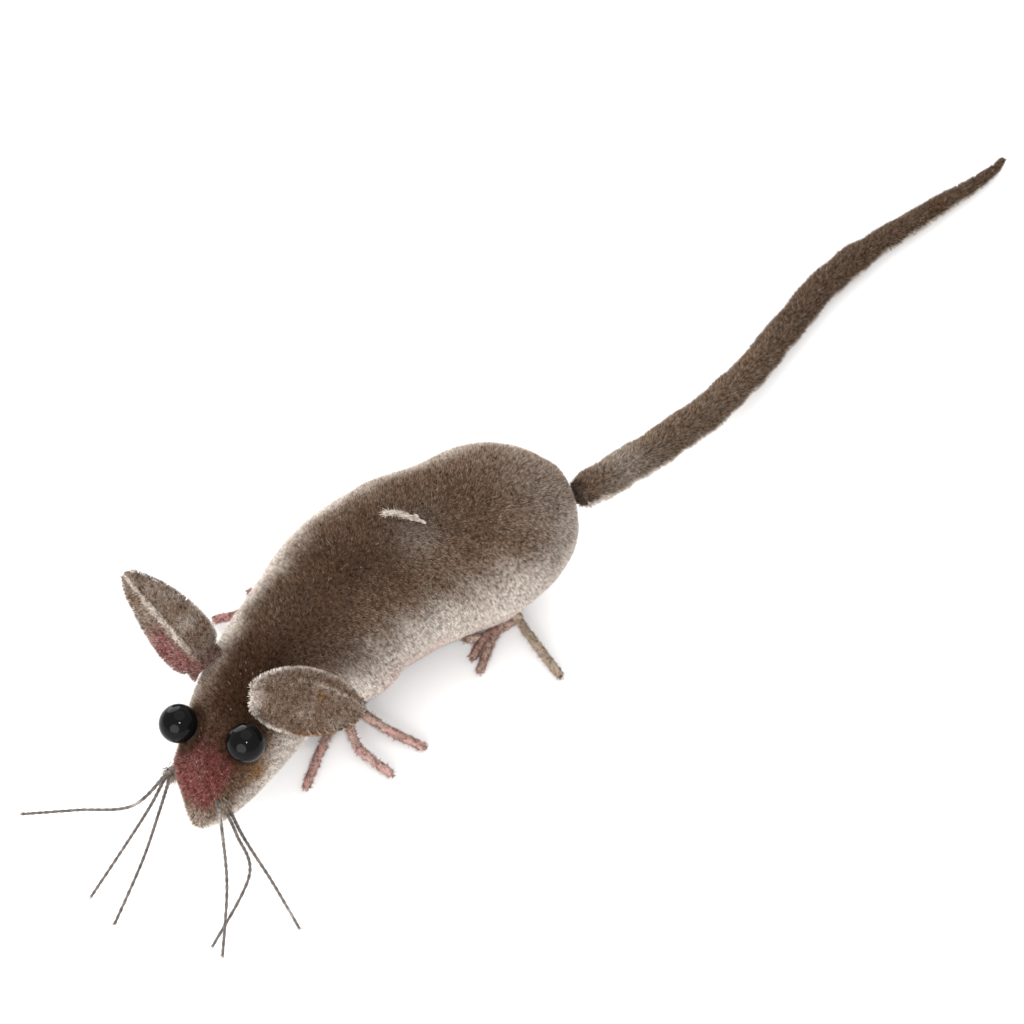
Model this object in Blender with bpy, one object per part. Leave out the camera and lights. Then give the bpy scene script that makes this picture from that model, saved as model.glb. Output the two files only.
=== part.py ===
"""Clockwork mouse: a stuffed velvet mouse on a tin base plate with a wind-up motor.

Metres, +Z up. The mouse faces -Y and its left is +X. The origin is under the middle of its box,
on the surface it stands on. Each object is one real piece.
"""

import math

import bmesh
import bpy
from mathutils import Matrix, Vector

MM = 0.001

# ---- clearances
GAP = 0.3 * MM            # between pieces that touch
RUNNING = 0.05 * MM       # radial, shaft in hole

# ---- soft body
BODY_LENGTH = 79.0 * MM   # rump to nose along Y
BODY_GIRTH = 29.4 * MM    # across the torso
HEAD_SHIFT = BODY_LENGTH ** 2 / (201.3 * MM)   # how far the nose swings to the mouse's left
SKIN = 1.1 * MM           # velvet with its backing
BELLY_HEIGHT = 2.0 * MM   # underside of the belly above the floor
NECK_SPLIT = 47.4 * MM / BODY_LENGTH   # place where the head's stuffing meets the body's

# ---- base plate and wheels
PLATE_SHEET = 0.6 * MM
PLATE_LENGTH = 39.0 * MM
PLATE_WIDTH = 14.0 * MM
PLATE_CORNER = 3.5 * MM
PLATE_Y = -1.0 * MM       # middle of the plate
DRIVE_WHEEL_R = 5.0 * MM
DRIVE_WHEEL_WIDTH = 2.0 * MM
TYRE_DEPTH = 1.1 * MM
FRONT_WHEEL_R = 3.6 * MM
FRONT_WHEEL_WIDTH = 1.8 * MM
FRONT_WHEEL_Y = -15.0 * MM
WHEEL_CLEAR = 0.35 * MM   # round a wheel in its slot
WHEEL_SIDES = 24

# ---- motor
MOTOR_SPAN = 6.4 * MM     # between the insides of the side plates
SIDE_SHEET = 0.5 * MM
MODULE = 0.5 * MM
GREAT_TEETH = 30
WHEEL_TEETH = 24
PINION_TEETH = 8
GEAR_FACE = 0.7 * MM
BACKLASH = 0.09 * MM      # taken off each tooth's thickness
ARBOR_R = 0.9 * MM
SMALL_ARBOR_R = 0.6 * MM
PILLAR_R = 0.9 * MM
WINDING_Y = -2.0 * MM
WINDING_HEIGHT = 11.3 * MM
AXLE_Y = 10.5 * MM
RATCHET_TEETH = 12
RATCHET_R = 3.4 * MM
RATCHET_DEPTH = 0.7 * MM
SPRING_STRIP = 0.28 * MM
SPRING_WIDTH = 2.2 * MM
SPRING_TURNS = 6
SPRING_R = 6.0 * MM

# ---- key
KEY_STEM_R = 1.3 * MM
KEY_BOW_SPAN = 9.0 * MM   # across both lobes
KEY_BOW_DEPTH = 4.2 * MM  # along the arbor
KEY_BOW_SHEET = 0.9 * MM
KEY_STAND_OFF = 0.9 * MM  # bow outside the widest part of the flank

# ---- trimmings
EYE_R = 3.15 * MM
EYE_PROUD = EYE_R - 1.05 * MM   # bead centre outside the velvet
EYE_WIRE_R = 0.35 * MM
EYE_WIRE_LENGTH = 2.6 * MM
EAR_LENGTH = 18.8 * MM
EAR_WIDTH = 10.4 * MM
EAR_SHEET = 1.5 * MM      # two layers of velvet
WHISKER_R = 0.3 * MM
TOE_R = 0.95 * MM
ANKLE_R = 1.3 * MM
TOE_FLOOR = 0.15 * MM     # under a toe
TAIL_R = 3.2 * MM
TAIL_FLOOR = 0.5 * MM     # under the tail where it trails
TAIL_WIRE_R = 0.45 * MM
THREAD_R = 0.35 * MM


# ------------------------------------------------------------------ helpers

def clear_scene():
    for old in list(bpy.data.objects):
        bpy.data.objects.remove(old, do_unlink=True)


def material(name, colour, roughness, metallic=0.0):
    made = bpy.data.materials.get(name)
    if made:
        return made
    made = bpy.data.materials.new(name)
    made.use_nodes = True
    shader = made.node_tree.nodes["Principled BSDF"]
    shader.inputs["Base Color"].default_value = (*colour, 1.0)
    shader.inputs["Roughness"].default_value = roughness
    shader.inputs["Metallic"].default_value = metallic
    return made


def velvet():
    return material("velvet", (0.16, 0.11, 0.085), 0.95)


def pink_flock():
    return material("pink_flock", (0.55, 0.30, 0.28), 0.95)


def wadding():
    return material("wadding", (0.78, 0.72, 0.62), 0.95)


def tinplate():
    return material("tinplate", (0.55, 0.55, 0.53), 0.38, 1.0)


def brass():
    return material("brass", (0.72, 0.55, 0.26), 0.32, 1.0)


def steel():
    return material("steel", (0.50, 0.50, 0.51), 0.30, 1.0)


def spring_steel():
    return material("spring_steel", (0.20, 0.22, 0.28), 0.30, 1.0)


def black_glass():
    return material("black_glass", (0.006, 0.006, 0.007), 0.05)


def rubber():
    return material("rubber", (0.03, 0.03, 0.03), 0.8)


def thread():
    return material("thread", (0.16, 0.12, 0.10), 0.7)


def pale_thread():
    return material("pale_thread", (0.75, 0.72, 0.66), 0.9)


def add_object(name, mesh, finish, smooth=True):
    mesh.materials.clear()
    mesh.materials.append(finish)
    if smooth:
        mesh.shade_smooth()
        mesh.set_sharp_from_angle(angle=math.radians(40))
    made = bpy.data.objects.new(name, mesh)
    bpy.context.scene.collection.objects.link(made)
    return made


def mesh_from(name, points, faces):
    mesh = bpy.data.meshes.new(name)
    mesh.from_pydata([tuple(p) for p in points], [], faces)
    grown = bmesh.new()
    grown.from_mesh(mesh)
    bmesh.ops.recalc_face_normals(grown, faces=grown.faces)
    grown.to_mesh(mesh)
    grown.free()
    return mesh


def skin_rings(name, rings):
    """Closed mesh through rings of equal count, with a flat cap at each end."""
    count = len(rings[0])
    points = [p for ring in rings for p in ring]
    faces = []
    for i in range(len(rings) - 1):
        for j in range(count):
            k = (j + 1) % count
            faces.append((i * count + j, i * count + k, (i + 1) * count + k, (i + 1) * count + j))
    faces.append(tuple(range(count)))
    faces.append(tuple((len(rings) - 1) * count + j for j in range(count)))
    return mesh_from(name, points, faces)


def cut(target, cutter, operation="DIFFERENCE"):
    """Boolean by a guide object that stays out of the model."""
    cutter.hide_render = True
    cutter.display_type = "WIRE"
    step = target.modifiers.new(cutter.name, "BOOLEAN")
    step.operation = operation
    step.solver = "EXACT"
    step.object = cutter


def polygon(radius, sides, turn=0.0):
    return [
        (radius * math.cos(turn + 2 * math.pi * i / sides), radius * math.sin(turn + 2 * math.pi * i / sides))
        for i in range(sides)
    ]


def prism(name, outline, low, high, frame=None):
    """Closed prism of a 2-D outline, from low to high along local Z, placed by frame."""
    place = frame or Matrix.Identity(4)
    rings = [[place @ Vector((x, y, h)) for x, y in outline] for h in (low, high)]
    return skin_rings(name, rings)


def turned(name, profile, sides, frame=None):
    """Solid of revolution about local Z; profile is (radius, height) from one pole to the other."""
    place = frame or Matrix.Identity(4)
    rings = [[place @ Vector((x, y, h)) for x, y in polygon(r, sides)] for r, h in profile]
    return skin_rings(name, rings)


def along_x(x, y, z):
    """Frame whose local Z runs along world +X, local X along world +Y and local Y along world +Z."""
    turn = Matrix(((0, 0, 1, 0), (1, 0, 0, 0), (0, 1, 0, 0), (0, 0, 0, 1)))
    return Matrix.Translation((x, y, z)) @ turn


def smooth_path(points, share):
    """Point at a share 0..1 of a Catmull-Rom curve through points."""
    last = len(points) - 1
    place = min(max(share, 0.0), 1.0) * last
    i = min(int(place), last - 1)
    f = place - i
    p0 = points[max(i - 1, 0)]
    p1 = points[i]
    p2 = points[i + 1]
    p3 = points[min(i + 2, last)]
    out = []
    for a, b, c, d in zip(p0, p1, p2, p3):
        out.append(0.5 * (2 * b + (c - a) * f + (2 * a - 5 * b + 4 * c - d) * f * f
                          + (3 * b - a - 3 * c + d) * f ** 3))
    return out


def tube(name, route, radii, sides, finish, steps):
    """Round closed tube along a smooth curve through the route's points."""
    rows = [(*p, r) for p, r in zip(route, radii)]
    centres = []
    widths = []
    for i in range(steps + 1):
        x, y, z, r = smooth_path(rows, i / steps)
        centres.append(Vector((x, y, z)))
        widths.append(r)
    side = None
    rings = []
    for i, centre in enumerate(centres):
        ahead = centres[min(i + 1, steps)] - centres[max(i - 1, 0)]
        ahead.normalize()
        if side is None:
            side = ahead.orthogonal().normalized()
        side = (side - ahead * side.dot(ahead)).normalized()
        up = ahead.cross(side)
        rings.append([centre + side * x + up * y for x, y in polygon(widths[i], sides)])
    return add_object(name, skin_rings(name, rings), finish)


# ------------------------------------------------------------------ the body's form

# One row for each station from rump to nose. Place along the body and sideways swing are shares of
# BODY_LENGTH and HEAD_SHIFT; height of the middle above the belly and half width are shares of BODY_GIRTH.
BODY_STATIONS = [
    (0.000, -0.010, 0.520, 0.035),
    (0.012, -0.015, 0.520, 0.175),
    (0.040, -0.020, 0.515, 0.285),
    (0.100, -0.028, 0.508, 0.405),
    (0.190, -0.026, 0.502, 0.492),
    (0.300, -0.010, 0.500, 0.500),
    (0.410, 0.020, 0.500, 0.500),
    (0.530, 0.120, 0.490, 0.483),
    (0.640, 0.275, 0.480, 0.424),
    (0.760, 0.470, 0.470, 0.366),
    (0.860, 0.680, 0.420, 0.310),
    (0.930, 0.845, 0.315, 0.230),
    (0.975, 0.940, 0.215, 0.128),
    (0.996, 0.980, 0.178, 0.052),
    (1.000, 0.988, 0.172, 0.020),
]
RUMP_Y = 32.2 * MM
BODY_SIDES = 22
BODY_RINGS = 24
POLE = 0.004              # first ring of an inset form, as a place along the body
NOSE_ROOM = 2.0 * MM      # half width left in an inset form's last ring
CORNER_ANGLE = -62.0      # degrees below the horizontal, where the belly turns under
CORNER_SPREAD = 18.0
CORNER_GROWTH = 0.125     # extra reach of the belly's corner, as a share of the half width
CORNER_START = 0.12       # the flat belly, as places along the body
CORNER_END = 0.66


def body_station(place):
    """Middle point and half width of the body at a place 0 (rump) to 1 (nose)."""
    rows = [(s[0], s[0], s[1], s[2], s[3]) for s in BODY_STATIONS]
    i = 0
    while i < len(rows) - 2 and rows[i + 1][0] < place:
        i += 1
    inner = (place - rows[i][0]) / (rows[i + 1][0] - rows[i][0])
    _, along, shift, height, half = smooth_path(rows, (i + inner) / (len(rows) - 1))
    middle = Vector((
        shift * HEAD_SHIFT,
        RUMP_Y - along * BODY_LENGTH,
        BELLY_HEIGHT + height * BODY_GIRTH,
    ))
    return middle, max(half, 0.02) * BODY_GIRTH


def body_frame(place):
    """Middle, half width and the sideways (mouse's left) and upward directions at a place."""
    middle, half = body_station(place)
    behind = body_station(max(place - 0.03, 0.0))[0]
    ahead = body_station(min(place + 0.03, 1.0))[0]
    forward = (ahead - behind).normalized()
    left = Vector((-forward.y, forward.x, 0)).normalized()
    up = left.cross(forward).normalized()
    if up.z < 0:
        up = -up
    return middle, half, forward, left, up


def belly_share(place):
    """1 where the belly is flat over the base plate, 0 at the head and rump, smooth between."""
    rise = min(max((place - CORNER_START) / 0.10, 0.0), 1.0)
    fall = min(max((CORNER_END - place) / 0.14, 0.0), 1.0)
    level = min(rise, fall)
    return level * level * (3 - 2 * level)


# Where the stuffing fills out or draws in: place, angle, spread along, spread in degrees, and the
# change as a share of the half width.
SWELLS = [
    (0.620, -22.0, 0.060, 28.0, 0.165),
    (0.935, 150.0, 0.030, 32.0, 0.20),
    (0.905, 108.0, 0.026, 20.0, 0.19),
    (0.300, 140.0, 0.060, 26.0, -0.035),
    (0.140, 130.0, 0.050, 30.0, 0.030),
    (0.090, 5.0, 0.060, 40.0, 0.030),
]


def swelling(place, angle):
    """Change of the half width, as a share, that the stuffing makes."""
    total = 0.0
    for at, towards, along, around, change in SWELLS:
        turn = (angle - towards + 180) % 360 - 180
        total += change * math.exp(-(((place - at) / along) ** 2) - (turn / around) ** 2)
    return total


def skin_point(place, angle):
    """Point on the outside of the velvet; angle in degrees, 0 left, 90 up, 180 right."""
    middle, half, _, left, up = body_frame(place)
    folded = angle if angle <= 90 else 180 - angle
    if folded < -90:
        folded = -180 - folded
    near = math.exp(-(((folded - CORNER_ANGLE) / CORNER_SPREAD) ** 2))
    reach = half * (1 + CORNER_GROWTH * belly_share(place) * near + swelling(place, angle))
    turn = math.radians(angle)
    point = middle + left * (reach * math.cos(turn)) + up * (reach * math.sin(turn))
    point.z = max(point.z, BELLY_HEIGHT)
    return point


def body_normal(place, angle):
    """Outward direction of the velvet at a place and angle."""
    step = 0.008
    across = skin_point(place, angle + 3) - skin_point(place, angle - 3)
    along = skin_point(min(place + step, 1.0), angle) - skin_point(max(place - step, 0.0), angle)
    out = across.cross(along).normalized()
    if out.dot(skin_point(place, angle) - body_station(place)[0]) < 0:
        out = -out
    return out


def body_point(place, angle, inset=0.0):
    """Point under the velvet's outside by an inset along the surface's own direction."""
    point = skin_point(place, angle)
    if inset:
        point = point - body_normal(place, angle) * inset
        point.z = max(point.z, BELLY_HEIGHT + inset)
    return point


def ring_places(start, stop):
    """Places of the body's rings between start and stop, closer together towards the ends."""
    places = [start]
    for i in range(1, BODY_RINGS):
        share = i / BODY_RINGS
        place = 0.45 * share + 0.55 * (0.5 - 0.5 * math.cos(math.pi * share))
        if start + 0.008 < place < stop - 0.008:
            places.append(place)
    return places + [stop]


def body_loft(name, inset, start=0.0, stop=1.0):
    rows = []
    for place in ring_places(start, stop):
        rows.append([body_point(place, 360 * j / BODY_SIDES - 90, inset) for j in range(BODY_SIDES)])
    return skin_rings(name, rows)


def nose_stop(inset):
    """Last place where a form inset under the velvet still has room to close."""
    place = 1.0
    while body_station(place)[1] < inset + NOSE_ROOM:
        place -= 0.001
    return place


# ------------------------------------------------------------------ derived motor places

def circle_meet(first, first_r, second, second_r):
    """Upper meeting point of two circles in the Y-Z plane."""
    dy = second[0] - first[0]
    dz = second[1] - first[1]
    gap = math.hypot(dy, dz)
    along = (first_r ** 2 - second_r ** 2 + gap ** 2) / (2 * gap)
    off = math.sqrt(first_r ** 2 - along ** 2)
    y = first[0] + (along * dy - off * dz) / gap
    z = first[1] + (along * dz + off * dy) / gap
    return (y, z)


PLATE_TOP = BELLY_HEIGHT + GAP + PLATE_SHEET
WINDING = (WINDING_Y, WINDING_HEIGHT)
AXLE = (AXLE_Y, DRIVE_WHEEL_R)
MIDDLE = circle_meet(
    WINDING, MODULE * (GREAT_TEETH + PINION_TEETH) / 2, AXLE, MODULE * (WHEEL_TEETH + PINION_TEETH) / 2
)
INSIDE = MOTOR_SPAN / 2
OUTSIDE = INSIDE + SIDE_SHEET
WHEEL_LAYER = -INSIDE + GAP                        # intermediate wheel and axle pinion
GREAT_LAYER = WHEEL_LAYER + GEAR_FACE + GAP        # great wheel and intermediate pinion
RATCHET_LAYER = GREAT_LAYER + GEAR_FACE + GAP      # ratchet, click and click spring
SPRING_LAYER = RATCHET_LAYER + GEAR_FACE + 1.2 * GAP
DRIVE_WHEEL_IN = OUTSIDE + GAP
DRIVE_WHEEL_OUT = DRIVE_WHEEL_IN + DRIVE_WHEEL_WIDTH
SLOT_CENTRE = (DRIVE_WHEEL_IN + DRIVE_WHEEL_OUT) / 2


# ------------------------------------------------------------------ gears

def gear_outline(teeth):
    """Outline of a spur gear with straight-sided teeth, thinned for backlash, first tooth on +X."""
    pitch_r = MODULE * teeth / 2
    tip_r = pitch_r + 0.92 * MODULE
    root_r = pitch_r - 1.15 * MODULE
    half = math.pi / (2 * teeth) - BACKLASH / (2 * pitch_r)
    lean = 0.36 * MODULE
    points = []
    for tooth in range(teeth):
        middle = 2 * math.pi * tooth / teeth
        for radius, width in (
            (root_r, half + lean / pitch_r),
            (pitch_r, half),
            (tip_r, half - lean * 1.15 / pitch_r),
        ):
            points.append((radius, middle - width))
        for radius, width in (
            (tip_r, half - lean * 1.15 / pitch_r),
            (pitch_r, half),
            (root_r, half + lean / pitch_r),
        ):
            points.append((radius, middle + width))
    return points


def polar(points, turn):
    return [(r * math.cos(a + turn), r * math.sin(a + turn)) for r, a in points]


def ringed_prism(name, outline, hole, low, high, frame):
    """Prism with one hole; outline and hole are 2-D loops round the same middle."""
    mesh = bpy.data.meshes.new(name)
    grown = bmesh.new()
    loops = []
    for loop, height in ((outline, low), (hole, low), (outline, high), (hole, high)):
        loops.append([grown.verts.new(frame @ Vector((x, y, height))) for x, y in loop])
    for lower, upper in ((loops[0], loops[2]), (loops[1], loops[3])):
        for i in range(len(lower)):
            j = (i + 1) % len(lower)
            grown.faces.new((lower[i], lower[j], upper[j], upper[i]))
    for outer, inner in ((loops[0], loops[1]), (loops[2], loops[3])):
        edges = []
        for loop in (outer, inner):
            for i in range(len(loop)):
                edges.append(grown.edges.get((loop[i], loop[(i + 1) % len(loop)])))
        bmesh.ops.triangle_fill(grown, use_beauty=True, use_dissolve=False, edges=edges)
    bmesh.ops.recalc_face_normals(grown, faces=grown.faces)
    grown.to_mesh(mesh)
    grown.free()
    return mesh


def mesh_turn(centre, teeth, partner, partner_teeth, partner_turn):
    """Turn of a gear so that its tooth gap meets the partner's tooth on their centre line."""
    line = math.atan2(centre[1] - partner[1], centre[0] - partner[0])
    ahead = (line - partner_turn) * partner_teeth / (2 * math.pi)
    fraction = ahead - math.floor(ahead)
    back = line + math.pi
    return back + (fraction + 0.5) * 2 * math.pi / teeth


# Local X of a gear's frame is world +Y and local Y is world +Z, so turns are measured in the Y-Z plane.
GREAT_TURN = 0.0
MIDDLE_TURN = mesh_turn(MIDDLE, PINION_TEETH, WINDING, GREAT_TEETH, GREAT_TURN)
AXLE_TURN = mesh_turn(AXLE, PINION_TEETH, MIDDLE, WHEEL_TEETH, MIDDLE_TURN)


# ------------------------------------------------------------------ motor pieces

def plate_outline(extra=0.0):
    """Rounded oblong of the base plate, grown by extra all round."""
    steps = 5
    corner = PLATE_CORNER + extra
    half_x = PLATE_WIDTH / 2 - PLATE_CORNER
    half_y = PLATE_LENGTH / 2 - PLATE_CORNER
    outline = []
    for quarter, (sx, sy) in enumerate(((1, 1), (-1, 1), (-1, -1), (1, -1))):
        for i in range(steps + 1):
            turn = math.pi / 2 * (quarter + i / steps)
            x = sx * half_x + corner * math.cos(turn)
            y = PLATE_Y + sy * half_y + corner * math.sin(turn)
            outline.append((x, y))
    return outline


def base_plate():
    plate = add_object(
        "base_plate",
        prism("base_plate", plate_outline(), BELLY_HEIGHT + GAP, PLATE_TOP),
        tinplate(),
        smooth=False,
    )
    reach = math.sqrt(DRIVE_WHEEL_R ** 2 - (DRIVE_WHEEL_R - PLATE_TOP) ** 2) + WHEEL_CLEAR
    slot_half = DRIVE_WHEEL_WIDTH / 2 + WHEEL_CLEAR / 2
    for side in (-1, 1):
        cut(plate, box("drive_slot", side * SLOT_CENTRE, AXLE_Y, slot_half, reach))
    pinion_tip = MODULE * (PINION_TEETH / 2 + 1)
    if AXLE[1] - pinion_tip < PLATE_TOP + GAP:
        cut(plate, box("pinion_slot", WHEEL_LAYER + GEAR_FACE / 2, AXLE_Y, GEAR_FACE / 2 + GAP, pinion_tip))
    front_reach = math.sqrt(FRONT_WHEEL_R ** 2 - (FRONT_WHEEL_R - PLATE_TOP) ** 2) + WHEEL_CLEAR
    cut(plate, box("front_slot", 0, FRONT_WHEEL_Y, FRONT_WHEEL_WIDTH / 2 + WHEEL_CLEAR, front_reach))
    for side in (-1, 1):
        for tab_y in TAB_PLACES:
            cut(plate, box("tab_slot", side * (INSIDE + SIDE_SHEET / 2), tab_y,
                           SIDE_SHEET / 2 + GAP, TAB_WIDTH / 2 + GAP))
    return plate


def box(name, x, y, half_x, half_y, low=None, high=None):
    """Upright box used as a guide for slots and pockets."""
    floor = BELLY_HEIGHT - 2 * MM if low is None else low
    roof = PLATE_TOP + 2 * MM if high is None else high
    corners = ((-1, -1), (1, -1), (1, 1), (-1, 1))
    outline = [(x + sx * half_x, y + sy * half_y) for sx, sy in corners]
    return add_object(name, prism(name, outline, floor, roof), steel(), smooth=False)


TAB_WIDTH = 3.0 * MM
PILLAR_EDGE = 1.0 * MM    # sheet left outside a pillar
GREAT_TIP = MODULE * (GREAT_TEETH / 2 + 1)
WHEEL_TIP = MODULE * (WHEEL_TEETH / 2 + 1)
SIDE_FRONT = WINDING_Y - GREAT_TIP - GAP - PILLAR_R - PILLAR_EDGE
SIDE_BACK = AXLE_Y + 2.2 * MM
REAR_PILLAR = (MIDDLE[0] + 1.5 * MM, MIDDLE[1] + WHEEL_TIP + PILLAR_R + GAP)
SIDE_TOP = REAR_PILLAR[1] + PILLAR_R + PILLAR_EDGE
TAB_PLACES = (SIDE_FRONT + 3.5 * MM, AXLE_Y - DRIVE_WHEEL_R - 3.0 * MM)
PILLARS = (
    (SIDE_FRONT + PILLAR_R + PILLAR_EDGE * 0.6, PLATE_TOP + 3.0 * MM),
    (SIDE_FRONT + PILLAR_R + PILLAR_EDGE, SIDE_TOP - PILLAR_R - PILLAR_EDGE),
    REAR_PILLAR,
)


def side_outline():
    """Side plate with clipped corners and two tabs down through the base plate."""
    low = PLATE_TOP + GAP
    clip = 3.0 * MM
    points = [(SIDE_FRONT, low)]
    for tab_y in TAB_PLACES:
        for y, z in ((-1, low), (-1, BELLY_HEIGHT + GAP), (1, BELLY_HEIGHT + GAP), (1, low)):
            points.append((tab_y + y * TAB_WIDTH / 2, z))
    points += [
        (SIDE_BACK, low),
        (SIDE_BACK, AXLE[1] + 3.0 * MM),
        (MIDDLE[0] + 4.0 * MM, SIDE_TOP - clip),
        (MIDDLE[0] + 4.0 * MM - clip * 0.6, SIDE_TOP),
        (SIDE_FRONT + clip, SIDE_TOP),
        (SIDE_FRONT, SIDE_TOP - clip),
    ]
    return points


def hole_r(shaft_r, clearance, sides):
    """Corner radius of a many-sided hole whose flats clear a round shaft."""
    return (shaft_r + clearance) / math.cos(math.pi / sides)


def side_plate(name, low):
    plate = add_object(
        name, prism(name, side_outline(), low, low + SIDE_SHEET, along_x(0, 0, 0)), tinplate(), smooth=False
    )
    sides = 16
    holes = [
        (WINDING, ARBOR_R, RUNNING),
        (MIDDLE, SMALL_ARBOR_R, RUNNING),
        (AXLE, ARBOR_R, RUNNING),
    ]
    holes += [(place, PILLAR_R * 0.6, GAP) for place in PILLARS]
    for (y, z), shaft_r, clearance in holes:
        round_hole = polygon(hole_r(shaft_r, clearance, sides), sides)
        drill = prism("drill", round_hole, low - MM, low + SIDE_SHEET + MM, along_x(0, y, z))
        cut(plate, add_object("drill", drill, steel()))
    return plate


def pillar(name, place):
    shoulder = INSIDE - GAP
    end = OUTSIDE + 0.5 * MM
    neck = PILLAR_R * 0.6
    profile = [(neck, -end), (neck, -shoulder), (PILLAR_R, -shoulder)]
    profile += [(r, -height) for r, height in reversed(profile)]
    return add_object(name, turned(name, profile, 12, along_x(0, *place)), steel())


def gear(name, teeth, centre, turn, low, shaft_r, finish):
    sides = 12
    outline = polar(gear_outline(teeth), turn)
    hole = polygon(hole_r(shaft_r, RUNNING, sides), sides)
    mesh = ringed_prism(name, outline, hole, low, low + GEAR_FACE, along_x(0, *centre))
    return add_object(name, mesh, finish, smooth=False)


def pinion_shaft(name, centre, turn, shaft_r, low, high, pinion_low, pinion_face, finish):
    """Shaft with a pinion cut on it, as one piece: round shaft ends and a toothed middle."""
    shaft = add_object(
        name, turned(name, [(shaft_r, low), (shaft_r, high)], 12, along_x(0, *centre)), finish, smooth=False
    )
    outline = polar(gear_outline(PINION_TEETH), turn)
    teeth = prism(name + "_teeth", outline, pinion_low, pinion_low + pinion_face, along_x(0, *centre))
    guide = add_object(name + "_teeth", teeth, finish, smooth=False)
    cut(shaft, guide, "UNION")
    return shaft


def winding_arbor():
    """Arbor from inside the key's sleeve to the far plate."""
    name = "winding_arbor"
    profile = [(ARBOR_R, KEY_BOW_IN + 1.2 * MM), (ARBOR_R, OUTSIDE + 0.6 * MM)]
    return add_object(name, turned(name, profile, 16, along_x(0, *WINDING)), steel())


def ratchet_outline():
    points = []
    for tooth in range(RATCHET_TEETH):
        start = 2 * math.pi * tooth / RATCHET_TEETH
        points.append((RATCHET_R, start))
        points.append((RATCHET_R - RATCHET_DEPTH, start + 0.04))
        points.append((RATCHET_R - RATCHET_DEPTH / 2, start + math.pi / RATCHET_TEETH))
    return points


def ratchet_wheel():
    sides = 12
    outline = polar(ratchet_outline(), 0.0)
    hole = polygon(hole_r(ARBOR_R, RUNNING, sides), sides)
    high = RATCHET_LAYER + GEAR_FACE
    mesh = ringed_prism("ratchet_wheel", outline, hole, RATCHET_LAYER, high, along_x(0, *WINDING))
    return add_object("ratchet_wheel", mesh, steel(), smooth=False)


CLICK_PIVOT = (WINDING[0] - 1.2 * MM, WINDING[1] + 5.4 * MM)
CLICK_PIN_R = 0.35 * MM
CLICK_SPRING_R = 0.16 * MM


def click():
    """Pawl: pivot boss with a beak that drops into the ratchet's teeth."""
    pivot_y, pivot_z = CLICK_PIVOT
    beak_turn = math.radians(60)
    beak_r = RATCHET_R - RATCHET_DEPTH * 0.45
    beak = (WINDING[0] + beak_r * math.cos(beak_turn), WINDING[1] + beak_r * math.sin(beak_turn))
    outline = [
        (pivot_y - 0.8 * MM, pivot_z - 0.5 * MM),
        (pivot_y + 0.2 * MM, pivot_z - 0.9 * MM),
        (beak[0] - 0.55 * MM, beak[1] + 0.95 * MM),
        (beak[0] + 0.12 * MM, beak[1] + 0.28 * MM),
        (beak[0] + 0.75 * MM, beak[1] + 0.75 * MM),
        (beak[0] + 0.55 * MM, beak[1] + 1.5 * MM),
        (pivot_y + 0.6 * MM, pivot_z + 0.8 * MM),
        (pivot_y - 0.6 * MM, pivot_z + 0.8 * MM),
    ]
    low = RATCHET_LAYER
    high = low + GEAR_FACE
    body = add_object("click", prism("click", outline, low, high, along_x(0, 0, 0)), steel(), smooth=False)
    sides = 12
    round_hole = polygon(hole_r(CLICK_PIN_R, RUNNING, sides), sides)
    drill = prism("drill", round_hole, low - MM, high + MM, along_x(0, pivot_y, pivot_z))
    cut(body, add_object("drill", drill, steel()))
    return body


def click_pin():
    """Rivet that carries the click on the great wheel."""
    reach = RATCHET_LAYER + GEAR_FACE + 0.15 * MM
    profile = [(CLICK_PIN_R, GREAT_LAYER + GEAR_FACE + 0.02 * MM), (CLICK_PIN_R, reach)]
    return add_object("click_pin", turned("click_pin", profile, 10, along_x(0, *CLICK_PIVOT)), steel())


def click_spring():
    """Thin wire spring behind the click."""
    y, z = CLICK_PIVOT
    x = RATCHET_LAYER + GEAR_FACE / 2
    route = [
        (x, y - 1.7 * MM, z - 2.8 * MM),
        (x, y - 1.9 * MM, z - 0.6 * MM),
        (x, y - 1.2 * MM, z + 1.3 * MM),
        (x, y + 1.4 * MM, z + 1.35 * MM),
    ]
    return tube("click_spring", route, [CLICK_SPRING_R] * 4, 6, spring_steel(), 10)


def mainspring():
    """Flat strip wound round the arbor, its outer end run off to the front pillar, as one closed coil."""
    per_turn = 12
    post_y = PILLARS[0][0] - WINDING[0]
    post_z = PILLARS[0][1] - WINDING[1]
    post = math.hypot(post_y, post_z)
    leave = math.atan2(post_z, post_y) - math.acos(SPRING_R / post)
    run = math.sqrt(post ** 2 - SPRING_R ** 2) - PILLAR_R - GAP
    inner = ARBOR_R + GAP
    low = SPRING_LAYER
    high = SPRING_LAYER + SPRING_WIDTH
    steps = SPRING_TURNS * per_turn
    line = []
    for i in range(steps + 1):
        share = i / steps
        turn = leave - 2 * math.pi * SPRING_TURNS * (1 - share)
        radius = inner + (SPRING_R - inner) * share
        outward = Vector((0, math.cos(turn), math.sin(turn)))
        line.append((outward * radius, outward))
    end, outward = line[-1]
    ahead = Vector((0, -outward.z, outward.y))
    line.append((end + ahead * run, outward))
    rings = []
    for spot, out in line:
        inside = Vector((0, *WINDING)) + spot
        outside = inside + out * SPRING_STRIP
        rings.append([inside + Vector((low, 0, 0)), outside + Vector((low, 0, 0)),
                      outside + Vector((high, 0, 0)), inside + Vector((high, 0, 0))])
    return add_object("mainspring", skin_rings("mainspring", rings), spring_steel(), smooth=False)


def drive_axle():
    reach = DRIVE_WHEEL_OUT + 0.4 * MM
    return pinion_shaft(
        "drive_axle", AXLE, AXLE_TURN, ARBOR_R, -reach, reach, WHEEL_LAYER, GEAR_FACE, steel()
    )


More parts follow.
